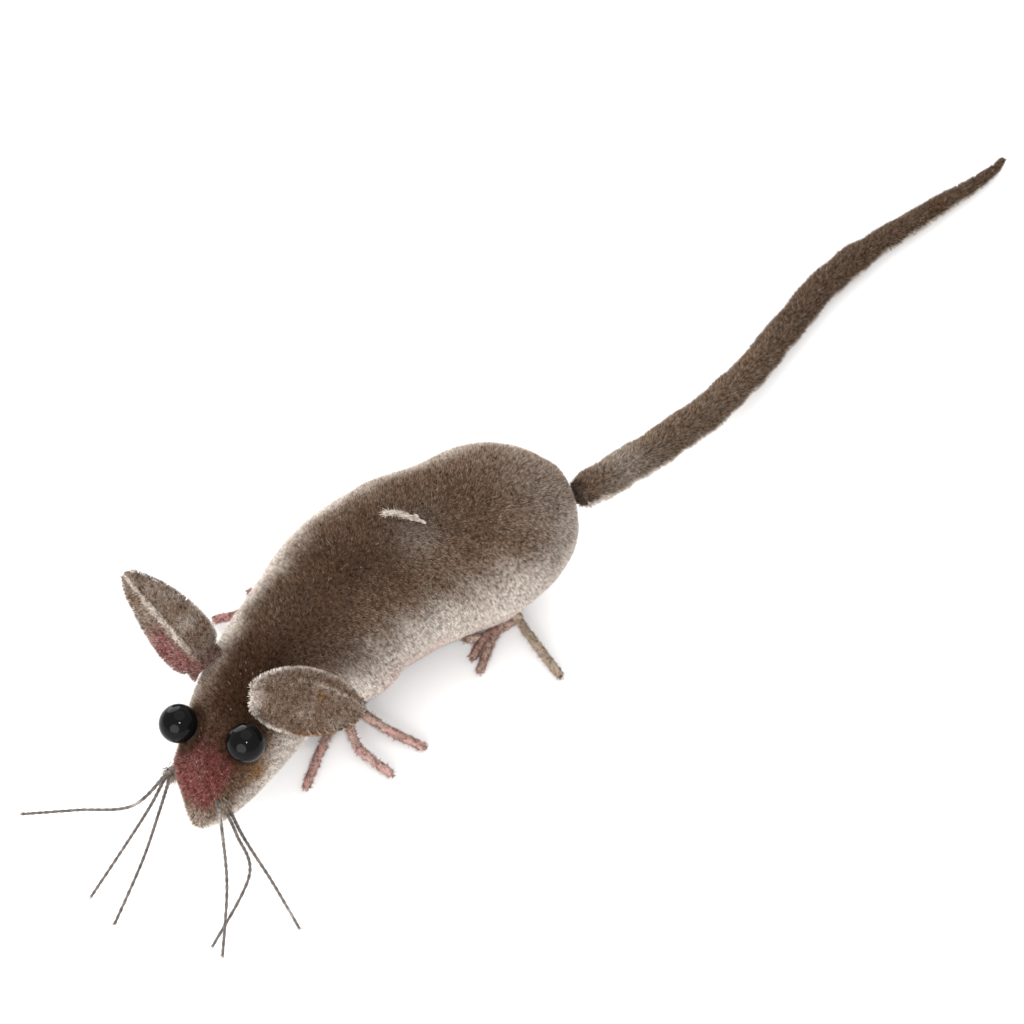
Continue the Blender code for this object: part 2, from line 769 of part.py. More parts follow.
def intermediate_arbor():
    reach = OUTSIDE + 0.4 * MM
    return pinion_shaft(
        "intermediate_arbor", MIDDLE, MIDDLE_TURN, SMALL_ARBOR_R, -reach, reach, GREAT_LAYER, GEAR_FACE,
        steel(),
    )


def road_wheel(name, centre, low, high, radius, shaft_r, finish):
    """Wheel disc with a running or pressed bore and rounded rim edges."""
    sides = WHEEL_SIDES
    bore = hole_r(shaft_r, RUNNING, sides)
    bevel = 0.25 * MM
    profile = [(radius - bevel, low), (radius, low + bevel), (radius, high - bevel), (radius - bevel, high)]
    return ring_solid(name, profile, bore, sides, along_x(0, *centre), finish)


def ring_solid(name, profile, bore, sides, frame, finish):
    """Turned ring: outer profile from low to high, straight bore."""
    low = profile[0][1]
    high = profile[-1][1]
    loops = [(bore, high), *reversed(profile), (bore, low)]
    points = []
    for r, h in loops:
        points += [frame @ Vector((x, y, h)) for x, y in polygon(r, sides)]
    faces = []
    for i in range(len(loops)):
        n = (i + 1) % len(loops)
        for j in range(sides):
            k = (j + 1) % sides
            faces.append((i * sides + j, i * sides + k, n * sides + k, n * sides + j))
    return add_object(name, mesh_from(name, points, faces), finish)


def drive_wheel(name, side):
    low = side * DRIVE_WHEEL_IN if side > 0 else -DRIVE_WHEEL_OUT
    high = low + DRIVE_WHEEL_WIDTH
    hub = road_wheel(name, AXLE, low, high, DRIVE_WHEEL_R - TYRE_DEPTH - RUNNING, ARBOR_R, brass())
    bevel = 0.3 * MM
    profile = [
        (DRIVE_WHEEL_R - bevel, low), (DRIVE_WHEEL_R, low + bevel),
        (DRIVE_WHEEL_R, high - bevel), (DRIVE_WHEEL_R - bevel, high),
    ]
    bore = hole_r(DRIVE_WHEEL_R - TYRE_DEPTH, 0.0, WHEEL_SIDES)
    tyre = ring_solid(
        name.replace("wheel", "tyre"), profile, bore, WHEEL_SIDES, along_x(0, *AXLE), rubber()
    )
    return hub, tyre


FRONT_AXLE = (FRONT_WHEEL_Y, FRONT_WHEEL_R)
FRONT_PIN_R = 0.55 * MM
FORK_SHEET = 0.5 * MM
FORK_IN = FRONT_WHEEL_WIDTH / 2 + GAP


def front_wheel():
    half = FRONT_WHEEL_WIDTH / 2
    return road_wheel("front_wheel", FRONT_AXLE, -half, half, FRONT_WHEEL_R, FRONT_PIN_R, brass())


def front_axle():
    reach = FORK_IN + FORK_SHEET + 0.5 * MM
    return add_object(
        "front_axle",
        turned("front_axle", [(FRONT_PIN_R, -reach), (FRONT_PIN_R, reach)], 12, along_x(0, *FRONT_AXLE)),
        steel(),
    )


def front_bracket(name, side):
    """Ear of folded tin beside the front wheel: an upright cheek and a foot on the base plate."""
    inner = FORK_IN
    outer = FORK_IN + FORK_SHEET
    foot = outer + 1.6 * MM
    low = PLATE_TOP + GAP
    high = FRONT_WHEEL_R + 1.6 * MM
    shelf = low + FORK_SHEET
    outline = [(inner, low), (foot, low), (foot, shelf), (outer, shelf), (outer, high), (inner, high)]
    points = [(side * x, z) for x, z in outline]
    turn = Matrix(((1, 0, 0, 0), (0, 0, -1, 0), (0, 1, 0, 0), (0, 0, 0, 1)))
    place = Matrix.Translation((0, FRONT_WHEEL_Y, 0)) @ turn
    half = 1.7 * MM
    ear = add_object(name, prism(name, points, -half, half, place), tinplate(), smooth=False)
    sides = 12
    round_hole = polygon(hole_r(FRONT_PIN_R, RUNNING, sides), sides)
    drill = prism("drill", round_hole, -outer - MM, outer + MM, along_x(0, *FRONT_AXLE))
    cut(ear, add_object("drill", drill, steel()))
    return ear


def right_flank_x(y, span):
    """How far the right flank reaches at a place along Y, within a span each way."""
    reach = 0.0
    for place in range(15, 75):
        for angle in range(150, 225, 5):
            point = skin_point(place / 100, angle)
            if abs(point.y - y) < span:
                reach = min(reach, point.x)
    return reach


KEY_BOW_IN = right_flank_x(WINDING_Y, KEY_BOW_SPAN / 2) - KEY_STAND_OFF


def winding_key():
    """Key: a sleeve on the arbor's end and a flat two-lobed bow, as one brass piece."""
    name = "winding_key"
    sides = 16
    bore = hole_r(ARBOR_R, RUNNING, sides)
    frame = along_x(0, *WINDING)
    profile = [(KEY_STEM_R, KEY_BOW_IN - 0.5 * MM), (KEY_STEM_R, KEY_BOW_IN + 4.0 * MM)]
    key = ring_solid(name, profile, bore, sides, frame, brass())
    lobes = []
    count = 26
    for i in range(count):
        turn = 2 * math.pi * i / count
        waist = 0.50 + 0.50 * abs(math.cos(turn)) ** 0.8
        lobes.append((KEY_BOW_SPAN / 2 * waist * math.cos(turn), waist * math.sin(turn)))
    widest = max(side for _, side in lobes)
    middle = KEY_BOW_IN - KEY_BOW_DEPTH / 2
    flat = [(WINDING_Y + y, middle + side / widest * KEY_BOW_DEPTH / 2) for y, side in lobes]
    turn = Matrix(((0, 1, 0, 0), (1, 0, 0, 0), (0, 0, 1, 0), (0, 0, 0, 1)))
    place = Matrix.Translation((0, 0, WINDING_HEIGHT)) @ turn
    bow = prism(name + "_bow", flat, -KEY_BOW_SHEET / 2, KEY_BOW_SHEET / 2, place)
    cut(key, add_object(name + "_bow", bow, brass()), "UNION")
    return key


# ------------------------------------------------------------------ soft pieces

POCKET_CLEAR = 0.8 * MM


def motor_pocket(name):
    """Guide for the space that the motor, drive wheels and base plate take in the stuffing."""
    half_x = PLATE_WIDTH / 2 + POCKET_CLEAR
    front = SIDE_FRONT - POCKET_CLEAR
    back = PLATE_Y + PLATE_LENGTH / 2 + POCKET_CLEAR
    return box(name, 0, (front + back) / 2, half_x, (back - front) / 2, -2 * MM, SIDE_TOP + POCKET_CLEAR)


def front_pocket(name):
    """Guide for the lower space round the front wheel and the front of the base plate."""
    half_x = PLATE_WIDTH / 2 + POCKET_CLEAR + GAP
    front = PLATE_Y - PLATE_LENGTH / 2 - POCKET_CLEAR
    roof = 2 * FRONT_WHEEL_R + POCKET_CLEAR
    return box(name, 0, (front + WINDING_Y) / 2, half_x, (WINDING_Y - front) / 2, -2 * MM, roof)


def plate_opening(name):
    """Guide for the opening that the base plate sits in."""
    opening = prism(name, plate_outline(GAP), -2 * MM, BELLY_HEIGHT + 6 * MM)
    return add_object(name, opening, steel(), smooth=False)


def key_hole(name, extra):
    """Guide for the way that the arbor and key take out through the right flank."""
    sides = 16
    profile = [(KEY_STEM_R + extra, KEY_BOW_IN - MM), (KEY_STEM_R + extra, 0)]
    return add_object(name, turned(name, profile, sides, along_x(0, *WINDING)), steel())


def body_cover():
    cover = add_object("body_cover", body_loft("body_cover", 0.0), velvet())
    hollow = body_loft("cover_hollow", SKIN, POLE, nose_stop(SKIN))
    cut(cover, add_object("cover_hollow", hollow, steel()))
    cut(cover, plate_opening("cover_opening"))
    cut(cover, key_hole("cover_key_hole", 0.5 * MM))
    for side in ("left", "right"):
        place, out = eye_place(side)
        cut(cover, ball("eye_socket_" + side, place, EYE_R + GAP, out))
    return cover


def body_stuffing():
    inset = SKIN + GAP
    pad = add_object(
        "body_stuffing", body_loft("body_stuffing", inset, POLE, NECK_SPLIT - 0.002), wadding()
    )
    cut(pad, motor_pocket("stuffing_pocket"))
    cut(pad, front_pocket("stuffing_front_pocket"))
    cut(pad, key_hole("stuffing_key_hole", 0.5 * MM))
    return pad


def head_stuffing():
    inset = SKIN + GAP
    pad = add_object(
        "head_stuffing", body_loft("head_stuffing", inset, NECK_SPLIT + 0.002, nose_stop(inset)), wadding()
    )
    cut(pad, front_pocket("head_pocket"))
    for side in ("left", "right"):
        place, out = eye_place(side)
        cut(pad, wire_channel("head_channel_" + side, place, out))
    return pad


def facing(point, direction):
    """Frame at a point with local Z along a direction."""
    turn = direction.to_track_quat("Z", "Y").to_matrix().to_4x4()
    return Matrix.Translation(point) @ turn


def ball(name, centre, radius, out, sides=14, rows=8):
    """Round bead with its poles along out."""
    profile = [(radius * 0.05, -radius)]
    for i in range(1, rows):
        turn = -math.pi / 2 + math.pi * i / rows
        profile.append((radius * math.cos(turn), radius * math.sin(turn)))
    profile.append((radius * 0.05, radius))
    return add_object(name, turned(name, profile, sides, facing(centre, out)), black_glass())


EYE_PLACES = {"left": (0.880, 62.0), "right": (0.886, 127.0)}


def eye_place(side):
    place, angle = EYE_PLACES[side]
    out = body_normal(place, angle)
    return body_point(place, angle) + out * EYE_PROUD, out


def wire_channel(name, centre, out):
    reach = EYE_R + GAP + EYE_WIRE_LENGTH + GAP
    profile = [(EYE_WIRE_R + GAP, -reach), (EYE_WIRE_R + GAP, 0)]
    return add_object(name, turned(name, profile, 8, facing(centre, out)), steel())


def eye(side):
    centre, out = eye_place(side)
    ball("eye_" + side, centre, EYE_R, out)
    profile = [(EYE_WIRE_R, -EYE_R - GAP - EYE_WIRE_LENGTH), (EYE_WIRE_R, -EYE_R - GAP)]
    name = "eye_wire_" + side
    add_object(name, turned(name, profile, 8, facing(centre, out)), steel())


# For each ear: place and angle on the body, the way it points and the way its width runs, as
# shares of the mouse's left, forward and up directions at the head, how far it is cupped, and the
# power its outline opens with (lower is broader at the root).
EARS = {
    "left": ((0.836, 76.0), (0.93, -0.26, 0.06), (0.0, 0.80, -0.60), 0.55, 0.45),
    "right": ((0.800, 139.0), (-0.88, -0.34, 0.21), (-0.25, 0.85, -0.45), 0.95, 0.20),
}


def ear_fullness(base):
    """Widest share of the ear's outline, which its width is measured at."""
    share = base / (base + 0.62)
    return share ** base * (1 - share) ** 0.62


def ear(side):
    """Leaf-shaped cupped ear; its root stops just short of the velvet."""
    (place, angle), point_way, width_way, cup, base = EARS[side]
    _, _, forward, left, up = body_frame(place)
    root = body_point(place, angle) + body_normal(place, angle) * (GAP + EAR_SHEET * 1.2)

    def world(shares):
        return left * shares[0] + forward * shares[1] + up * shares[2]

    axis = world(point_way).normalized()
    wide = world(width_way)
    wide = (wide - axis * wide.dot(axis)).normalized()
    thick = axis.cross(wide).normalized()
    if thick.z < 0:
        thick = -thick
    steps = 9
    across = 6
    rows = []
    for i in range(steps + 1):
        share = 0.02 + 0.96 * i / steps
        half = EAR_WIDTH / 2 * share ** base * (1 - share) ** 0.62 / ear_fullness(base)
        centre = root + axis * (EAR_LENGTH * share)
        ring = []
        for face in (1, -1):
            for j in range(across + 1):
                bend = cup * face * (-1 + 2 * j / across)
                spot = centre + wide * (half * math.sin(bend) / cup)
                spot -= thick * (half * (1 - math.cos(bend)) / cup)
                ring.append(spot + thick * (face * EAR_SHEET / 2))
        rows.append(ring)
    return add_object("ear_" + side, skin_rings("ear_" + side, rows), velvet())


# Whiskers start on the muzzle and run out by steps of (X, Y, Z) in millimetres from their roots.
WHISKER_ROOTS = {"left": (0.953, 42.0, 12.0), "right": (0.940, 162.0, -12.0)}
WHISKERS = {
    "left": (
        ((4.5, -1.0, -1.0), (12.0, -3.2, -4.5), (20.2, -7.3, -10.1)),
        ((4.5, 0.3, -1.5), (10.1, 0.1, -5.1), (16.4, -8.7, -11.1)),
        ((5.0, 0.4, -1.2), (12.2, 2.2, -4.6), (19.0, 3.9, -9.1)),
    ),
    "right": (
        ((2.2, -6.9, -2.4), (-1.6, -15.0, -4.0), (-5.2, -22.9, -5.4)),
        ((3.6, -4.4, -2.0), (7.4, -10.5, -5.2), (11.3, -17.6, -9.4)),
        ((4.2, -3.6, -2.2), (10.0, -8.8, -5.6), (16.8, -16.2, -9.9)),
    ),
}


def whisker(side, number, stops):
    place, angle, fan = WHISKER_ROOTS[side]
    angle += (1 - number) * fan
    root = body_point(place, angle) + body_normal(place, angle) * (GAP + WHISKER_R)
    route = [tuple(root)]
    for step in stops:
        spot = root + Vector(step) * MM
        spot.z = max(spot.z, TOE_FLOOR + WHISKER_R)
        route.append(tuple(spot))
    return tube("whisker_%s_%d" % (side, number + 1), route, [WHISKER_R] * 4, 5, thread(), 8)


# Each foot: place and angle on the belly of its ankle, then for each toe its bend and its tip as
# steps of (X, Y) in millimetres from the ankle.
FEET = {
    "front_left": (
        (0.625, -66.0),
        (((6.0, -6.2), (12.9, -12.2)), ((8.4, -1.8), (15.9, 1.4)), ((6.6, 3.2), (12.9, 8.3))),
    ),
    "front_right": (
        (0.560, -140.0),
        (((-3.4, -5.2), (-6.4, -10.4)), ((-5.0, -1.6), (-9.6, -3.0)), ((-4.2, 2.4), (-8.4, 5.4))),
    ),
    "rear_left": (
        (0.190, -62.0),
        (
            ((7.0, 0.9), (13.6, 1.9)),
            ((1.4, -4.6), (7.6, -9.9)),
            ((1.6, -6.2), (4.6, -10.0)),
            ((1.4, -5.8), (0.6, -9.4)),
        ),
    ),
    "rear_right": (
        (0.190, -118.0),
        (((-6.4, 0.8), (-12.4, 2.4)), ((-4.6, -3.8), (-9.6, -7.6)), ((-1.0, -5.4), (-3.4, -10.4))),
    ),
}


def clear_of_plate(place, angle):
    """The ankle's angle, turned up the flank where the base plate would be in its way."""
    for _ in range(40):
        root = body_point(place, angle) + body_normal(place, angle) * (GAP + ANKLE_R)
        height = max(root.z, TOE_FLOOR + ANKLE_R)
        off_x = max(abs(root.x) - PLATE_WIDTH / 2 + PLATE_CORNER, 0)
        off_y = max(abs(root.y - PLATE_Y) - PLATE_LENGTH / 2 + PLATE_CORNER, 0)
        below = max(BELLY_HEIGHT + GAP - height, 0)
        reach = math.sqrt(max(ANKLE_R ** 2 - below ** 2, 0)) + GAP / 2
        if math.hypot(off_x, off_y) - PLATE_CORNER > reach or height - ANKLE_R > PLATE_TOP:
            break
        angle += math.copysign(1.0, angle + 90)
    return angle


def foot(name, ankle, toes):
    """Flocked wires twisted together at the ankle and fanned out as toes, as one piece."""
    place, angle = ankle
    angle = clear_of_plate(place, angle)
    out = body_normal(place, angle)
    root = body_point(place, angle) + out * (GAP + ANKLE_R)
    rest = TOE_FLOOR + TOE_R
    root.z = max(root.z, TOE_FLOOR + ANKLE_R)
    made = ball("foot_" + name, root, ANKLE_R, out, 10, 6)
    made.data.materials.clear()
    made.data.materials.append(pink_flock())
    for number, (bend, tip) in enumerate(toes):
        route = [tuple(root)]
        for (x, y), height in ((bend, (root.z + rest) / 2), (tip, rest)):
            route.append((root.x + x * MM, root.y + y * MM, height))
        guide = "%s_toe_%d" % (name, number + 1)
        cut(made, tube(guide, route, [TOE_R * 0.85, TOE_R, TOE_R * 0.9], 6, pink_flock(), 5), "UNION")
    return made


# The tail from its root: X and Y in millimetres, height above its resting line as a share of the
# root's, and girth as a share of TAIL_R.
TAIL_STEPS = [
    (0.0, 0.0, 1.0, 0.86),
    (-0.9, 2.6, 0.97, 0.95),
    (-4.0, 8.5, 0.80, 1.0),
    (-9.0, 17.5, 0.55, 1.0),
    (-14.5, 27.5, 0.32, 1.0),
    (-21.0, 38.0, 0.12, 0.95),
    (-27.5, 47.5, 0.02, 0.92),
    (-33.5, 56.0, 0.0, 0.90),
    (-40.0, 66.5, 0.0, 0.88),
    (-45.0, 78.5, 0.0, 0.72),
    (-49.0, 91.0, 0.0, 0.58),
    (-52.0, 100.5, 0.0, 0.42),
    (-54.4, 106.8, 0.0, 0.30),
    (-56.2, 110.0, 0.05, 0.16),
]


def tail():
    """Stuffed velvet tube that leaves the rump and trails along the floor."""
    rump, _ = body_station(0.0)
    root = Vector((rump.x - 0.3 * MM, rump.y + GAP + 0.5 * MM, rump.z + 1.0 * MM))
    route = []
    radii = []
    for x, y, lift, girth in TAIL_STEPS:
        radius = TAIL_R * girth
        floor = TAIL_FLOOR + radius
        route.append((root.x + x * MM, root.y + y * MM, floor + (root.z - floor) * lift))
        radii.append(radius)
    cover = tube("tail_cover", route, radii, 12, velvet(), 26)
    bore_stop = 8             # the wire runs in the first stretch of the tail only
    inner = [r for r in route[:bore_stop]]
    hollow = tube("tail_bore", [(root.x + 0.4 * MM, root.y - 1.5 * MM, root.z + 0.3 * MM)] + inner,
                  [TAIL_WIRE_R + GAP] * (bore_stop + 1), 8, steel(), 16)
    cut(cover, hollow)
    tube("tail_wire", inner, [TAIL_WIRE_R] * bore_stop, 6, steel(), 14)
    return cover


def stitch_tuft():
    """Knot and short ends of the thread that closes the back seam."""
    place, angle = 0.393, 76.0
    out = body_normal(place, angle)
    root = body_point(place, angle) + out * (GAP + THREAD_R)
    route = [
        tuple(root + Vector((2.0 * MM, 1.2 * MM, 0.0))),
        tuple(root),
        tuple(root + Vector((-1.2 * MM, -2.2 * MM, 1.4 * MM))),
        tuple(root + Vector((-1.4 * MM, -4.6 * MM, 2.2 * MM))),
    ]
    radii = [THREAD_R, THREAD_R * 1.3, THREAD_R * 1.4, THREAD_R]
    return tube("stitch_tuft", route, radii, 6, pale_thread(), 8)


# ------------------------------------------------------------------ joints and assembly

def set_pivot(names, point):
    """Parent pieces to an empty on their joint's axis, without moving them."""
    empty = bpy.data.objects.new("pivot_" + names[0], None)
    empty.location = point
    bpy.context.scene.collection.objects.link(empty)
    for name in names:
        piece = bpy.data.objects[name]
        piece.parent = empty
        piece.matrix_parent_inverse = Matrix.Translation(-Vector(point))


def stand_on_origin():
    """Move everything so that the origin is under the middle of the box, on the floor."""
    bpy.context.view_layer.update()
    reach = bpy.context.evaluated_depsgraph_get()
    low = Vector((1e9, 1e9, 1e9))
    high = Vector((-1e9, -1e9, -1e9))
    for piece in bpy.data.objects:
        if piece.type != "MESH" or piece.hide_render:
            continue
        shape = piece.evaluated_get(reach)
        for vertex in shape.data.vertices:
            point = shape.matrix_world @ vertex.co
            for i in range(3):
                low[i] = min(low[i], point[i])
                high[i] = max(high[i], point[i])
    middle = Vector(((low.x + high.x) / 2, (low.y + high.y) / 2, low.z))
    for piece in bpy.data.objects:
        if piece.parent is None:
            piece.location -= middle


def build():
    clear_scene()
    body_cover()
    body_stuffing()
    head_stuffing()
    for side in ("left", "right"):
        eye(side)
        ear(side)
        for number, stops in enumerate(WHISKERS[side]):
            whisker(side, number, stops)
    for name, (ankle, toes) in FEET.items():
        foot(name, ankle, toes)
    tail()
    stitch_tuft()

    base_plate()
    side_plate("side_plate_left", INSIDE)
    side_plate("side_plate_right", -OUTSIDE)
    for number, place in enumerate(PILLARS):
        pillar("pillar_%d" % (number + 1), place)
    winding_arbor()
    ratchet_wheel()
    click()
    click_pin()
    click_spring()
    mainspring()
    gear("great_wheel", GREAT_TEETH, WINDING, GREAT_TURN, GREAT_LAYER, ARBOR_R, brass())
    gear("intermediate_wheel", WHEEL_TEETH, MIDDLE, MIDDLE_TURN, WHEEL_LAYER, SMALL_ARBOR_R, brass())
    intermediate_arbor()
    drive_axle()
    drive_wheel("drive_wheel_left", 1)
    drive_wheel("drive_wheel_right", -1)
    front_wheel()
    front_axle()
    front_bracket("front_bracket_left", 1)
    front_bracket("front_bracket_right", -1)
    winding_key()

    set_pivot(["great_wheel", "click_pin", "click_spring"], (0, *WINDING))
    set_pivot(["winding_key", "winding_arbor", "ratchet_wheel"], (0, *WINDING))
    set_pivot(["click"], (0, *CLICK_PIVOT))
    set_pivot(["intermediate_wheel", "intermediate_arbor"], (0, *MIDDLE))
    rolling = ["drive_wheel_left", "drive_tyre_left", "drive_wheel_right", "drive_tyre_right"]
    set_pivot(["drive_axle", *rolling], (0, *AXLE))
    set_pivot(["front_wheel"], (0, *FRONT_AXLE))
    stand_on_origin()


build()
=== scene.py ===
"""Looks of the clockwork mouse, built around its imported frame: velvet skin with its pile, wadding,
glass eyes, thread whiskers, flocked toes, the plush tail and the finishes of the motor's metal.

Metres, +Z up. The mouse faces -Y and its left is +X.
"""

import math

import bmesh
import bpy
import numpy as np
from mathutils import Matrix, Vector
from mathutils.kdtree import KDTree


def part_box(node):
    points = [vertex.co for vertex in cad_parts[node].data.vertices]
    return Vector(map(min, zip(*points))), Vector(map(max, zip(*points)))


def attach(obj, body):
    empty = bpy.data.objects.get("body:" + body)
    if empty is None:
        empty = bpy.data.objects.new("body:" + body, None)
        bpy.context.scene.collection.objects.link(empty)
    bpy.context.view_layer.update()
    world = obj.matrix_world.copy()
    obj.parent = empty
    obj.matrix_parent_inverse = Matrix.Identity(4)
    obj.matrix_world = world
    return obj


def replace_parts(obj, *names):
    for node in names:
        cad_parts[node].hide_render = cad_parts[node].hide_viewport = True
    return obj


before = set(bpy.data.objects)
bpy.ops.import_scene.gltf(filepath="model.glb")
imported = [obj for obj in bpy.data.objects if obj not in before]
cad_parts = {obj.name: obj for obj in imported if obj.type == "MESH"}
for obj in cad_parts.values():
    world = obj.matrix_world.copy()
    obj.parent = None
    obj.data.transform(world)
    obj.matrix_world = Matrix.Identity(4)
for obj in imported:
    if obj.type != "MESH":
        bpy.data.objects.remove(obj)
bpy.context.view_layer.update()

MM = 0.001
rng = np.random.default_rng(11)

# ---- camera, at the angle the mouse is seen from
AZIMUTH = 67.0
ELEVATION = 50.0
DISTANCE = 650.0 * MM
FOCAL_MM = 138.48

# ---- the body's form, as in the CAD
BODY_LENGTH = 79.0 * MM
BODY_GIRTH = 29.4 * MM
HEAD_SHIFT = 31.0 * MM
BELLY_HEIGHT = 2.0 * MM
RUMP_Y = 32.2 * MM
PLATE_Y = -1.0 * MM
PLATE_CORNER = 3.5 * MM
GAP = 0.3 * MM
SKIN = 1.1 * MM
WINDING = (-2.0 * MM, 11.3 * MM)
EYE_R = 3.15 * MM
SOCKET_R = EYE_R + 0.12 * MM
AXLE_BORE = 0.96 * MM
KEY_DEPTH = 4.2 * MM
EAR_LENGTH = 18.8 * MM
EAR_WIDTH = 10.4 * MM
EAR_SHEET = 1.5 * MM
WHISKER_R = 0.3 * MM
TOE_R = 0.95 * MM
ANKLE_R = 1.3 * MM
TOE_FLOOR = 0.15 * MM
TAIL_R = 3.2 * MM
TAIL_FLOOR = 0.5 * MM

# ---- pile
BACKING = 0.75 * MM       # the cloth under the pile, below the velvet's outside
PILE_LENGTH = 0.88 * MM
PILE_R = 0.085 * MM
PILE_PER_MM2 = 30.0
LOOSE_R = 0.05 * MM       # frayed and fluffy hairs
MOST_STRANDS = 48000      # in one piece

# Place along the body, sideways swing, height of the middle and half width, as shares.
STATIONS = np.array([
    (0.000, -0.010, 0.520, 0.035),
    (0.012, -0.015, 0.520, 0.175),
    (0.040, -0.020, 0.515, 0.285),
    (0.100, -0.028, 0.508, 0.405),
    (0.190, -0.026, 0.502, 0.492),
    (0.300, -0.010, 0.500, 0.500),
    (0.410, 0.020, 0.500, 0.500),
    (0.530, 0.120, 0.490, 0.483),
    (0.640, 0.275, 0.480, 0.424),
    (0.760, 0.470, 0.470, 0.366),
    (0.860, 0.680, 0.420, 0.310),
    (0.930, 0.845, 0.315, 0.230),
    (0.975, 0.940, 0.215, 0.128),
    (0.996, 0.980, 0.178, 0.052),
    (1.000, 0.988, 0.172, 0.020),
])
# Where the stuffing fills out or draws in: place, angle, spread along, spread in degrees, and the
# change as a share of the half width.
SWELLS = [
    (0.620, -22.0, 0.060, 28.0, 0.165),
    (0.935, 150.0, 0.030, 32.0, 0.20),
    (0.905, 108.0, 0.026, 20.0, 0.19),
    (0.300, 140.0, 0.060, 26.0, -0.035),
    (0.140, 130.0, 0.050, 30.0, 0.030),
    (0.090, 5.0, 0.060, 40.0, 0.030),
]
CORNER_ANGLE = -62.0
CORNER_SPREAD = 18.0
CORNER_GROWTH = 0.125
CORNER_START = 0.12
CORNER_END = 0.66

plate_low, plate_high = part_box("base_plate")
SHIFT = np.array((
    (plate_low.x + plate_high.x) / 2,
    (plate_low.y + plate_high.y) / 2 - PLATE_Y,
    0.0,
))
AIM = Vector(SHIFT) + Vector((-1.3, 21.1, 18.3)) * MM


# ---- numbers

def unit(vectors):
    return vectors / np.maximum(np.linalg.norm(vectors, axis=-1, keepdims=True), 1e-12)


def ramp(value, low, high):
    """0 at low, 1 at high, smooth between; low may be above high."""
    share = np.clip((value - low) / (high - low), 0, 1)
    return share * share * (3 - 2 * share)


def curve_through(rows, places):
    """Catmull-Rom through rows, at places counted in rows."""
    rows = np.asarray(rows, float)
    last = len(rows) - 1
    places = np.clip(places, 0, last)
    i = np.minimum(places.astype(int), last - 1)
    f = (places - i)[:, None]
    a = rows[np.maximum(i - 1, 0)]
    b = rows[i]
    c = rows[i + 1]
    d = rows[np.minimum(i + 2, last)]
    return 0.5 * (2 * b + (c - a) * f + (2 * a - 5 * b + 4 * c - d) * f ** 2
                  + (3 * b - a - 3 * c + d) * f ** 3)


def waves(points, scale, seed, count=7):
    """Smooth noise about -1..1 from a few crossing waves; scale is the size of its lumps."""
    draw = np.random.default_rng(seed)
    total = np.zeros(len(points))
    for _ in range(count):
        way = unit(draw.normal(size=3))
        total += np.sin(points @ way * (2 * math.pi / scale * draw.uniform(0.6, 1.6)) + draw.uniform(0, 6.3))
    return total / math.sqrt(count)


# ---- the body's surface

def station(place):
    marks = STATIONS[:, 0]
    i = np.clip(np.searchsorted(marks, place, "left") - 1, 0, len(marks) - 2)
    inner = (place - marks[i]) / (marks[i + 1] - marks[i])
    along, shift, height, half = curve_through(STATIONS, i + inner).T
    middle = np.stack([
        shift * HEAD_SHIFT,
        RUMP_Y - along * BODY_LENGTH,
        BELLY_HEIGHT + height * BODY_GIRTH,
    ], axis=1) + SHIFT
    return middle, np.maximum(half, 0.02) * BODY_GIRTH


def body_frame(place):
    middle, half = station(place)
    forward = unit(station(np.minimum(place + 0.03, 1.0))[0] - station(np.maximum(place - 0.03, 0.0))[0])
    left = unit(np.stack([-forward[:, 1], forward[:, 0], np.zeros(len(place))], axis=1))
    up = unit(np.cross(left, forward))
    up[up[:, 2] < 0] *= -1
    return middle, half, forward, left, up


def skin_points(place, angle):
    """Outside of the velvet; angle in degrees, 0 left, 90 up, 180 right."""
    middle, half, _, left, up = body_frame(place)
    rise = np.clip((place - CORNER_START) / 0.10, 0, 1)
    fall = np.clip((CORNER_END - place) / 0.14, 0, 1)
    level = np.minimum(rise, fall)
    belly = level * level * (3 - 2 * level)
    folded = np.where(angle <= 90, angle, 180 - angle)
    folded = np.where(folded < -90, -180 - folded, folded)
    change = CORNER_GROWTH * belly * np.exp(-(((folded - CORNER_ANGLE) / CORNER_SPREAD) ** 2))
    for at, towards, along, around, share in SWELLS:
        aside = (angle - towards + 180) % 360 - 180
        change = change + share * np.exp(-(((place - at) / along) ** 2) - (aside / around) ** 2)
    reach = half * (1 + change)
    turn = np.radians(angle)
    points = middle + left * (reach * np.cos(turn))[:, None] + up * (reach * np.sin(turn))[:, None]
    points[:, 2] = np.maximum(points[:, 2], BELLY_HEIGHT)
    return points


def skin_normals(place, angle):
    step = 0.008
    across = skin_points(place, angle + 3) - skin_points(place, angle - 3)
    along = skin_points(np.minimum(place + step, 1.0), angle) - skin_points(np.maximum(place - step, 0.0), angle)
    out = unit(np.cross(across, along))
    out[np.sum(out * (skin_points(place, angle) - station(place)[0]), axis=1) < 0] *= -1
    return out


def one(place, angle):
    """A single point and its outward direction."""
    where = np.array([place]), np.array([angle])
    return skin_points(*where)[0], skin_normals(*where)[0]


TUFT_ROOT, TUFT_OUT = one(0.393, 76.0)


def sunk(points, normals, depth):
    """Points moved in by a depth, with the stuffing's soft lumps and the dimple of the back stitch."""
    lumps = 0.10 * MM * (1 + waves(points, 17 * MM, 3))
    near = np.linalg.norm(points - TUFT_ROOT, axis=1)
    dimple = 0.55 * MM * np.exp(-((near / (3.6 * MM)) ** 2))
    moved = points - normals * (depth + lumps + dimple)[:, None]
    moved[:, 2] = np.maximum(moved[:, 2], BELLY_HEIGHT + np.minimum(depth, SKIN))
    return moved


def eye_centre(side):
    low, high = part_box("eye_" + side)
    return np.array((low + high) / 2)


EYES = {side: eye_centre(side) for side in ("left", "right")}


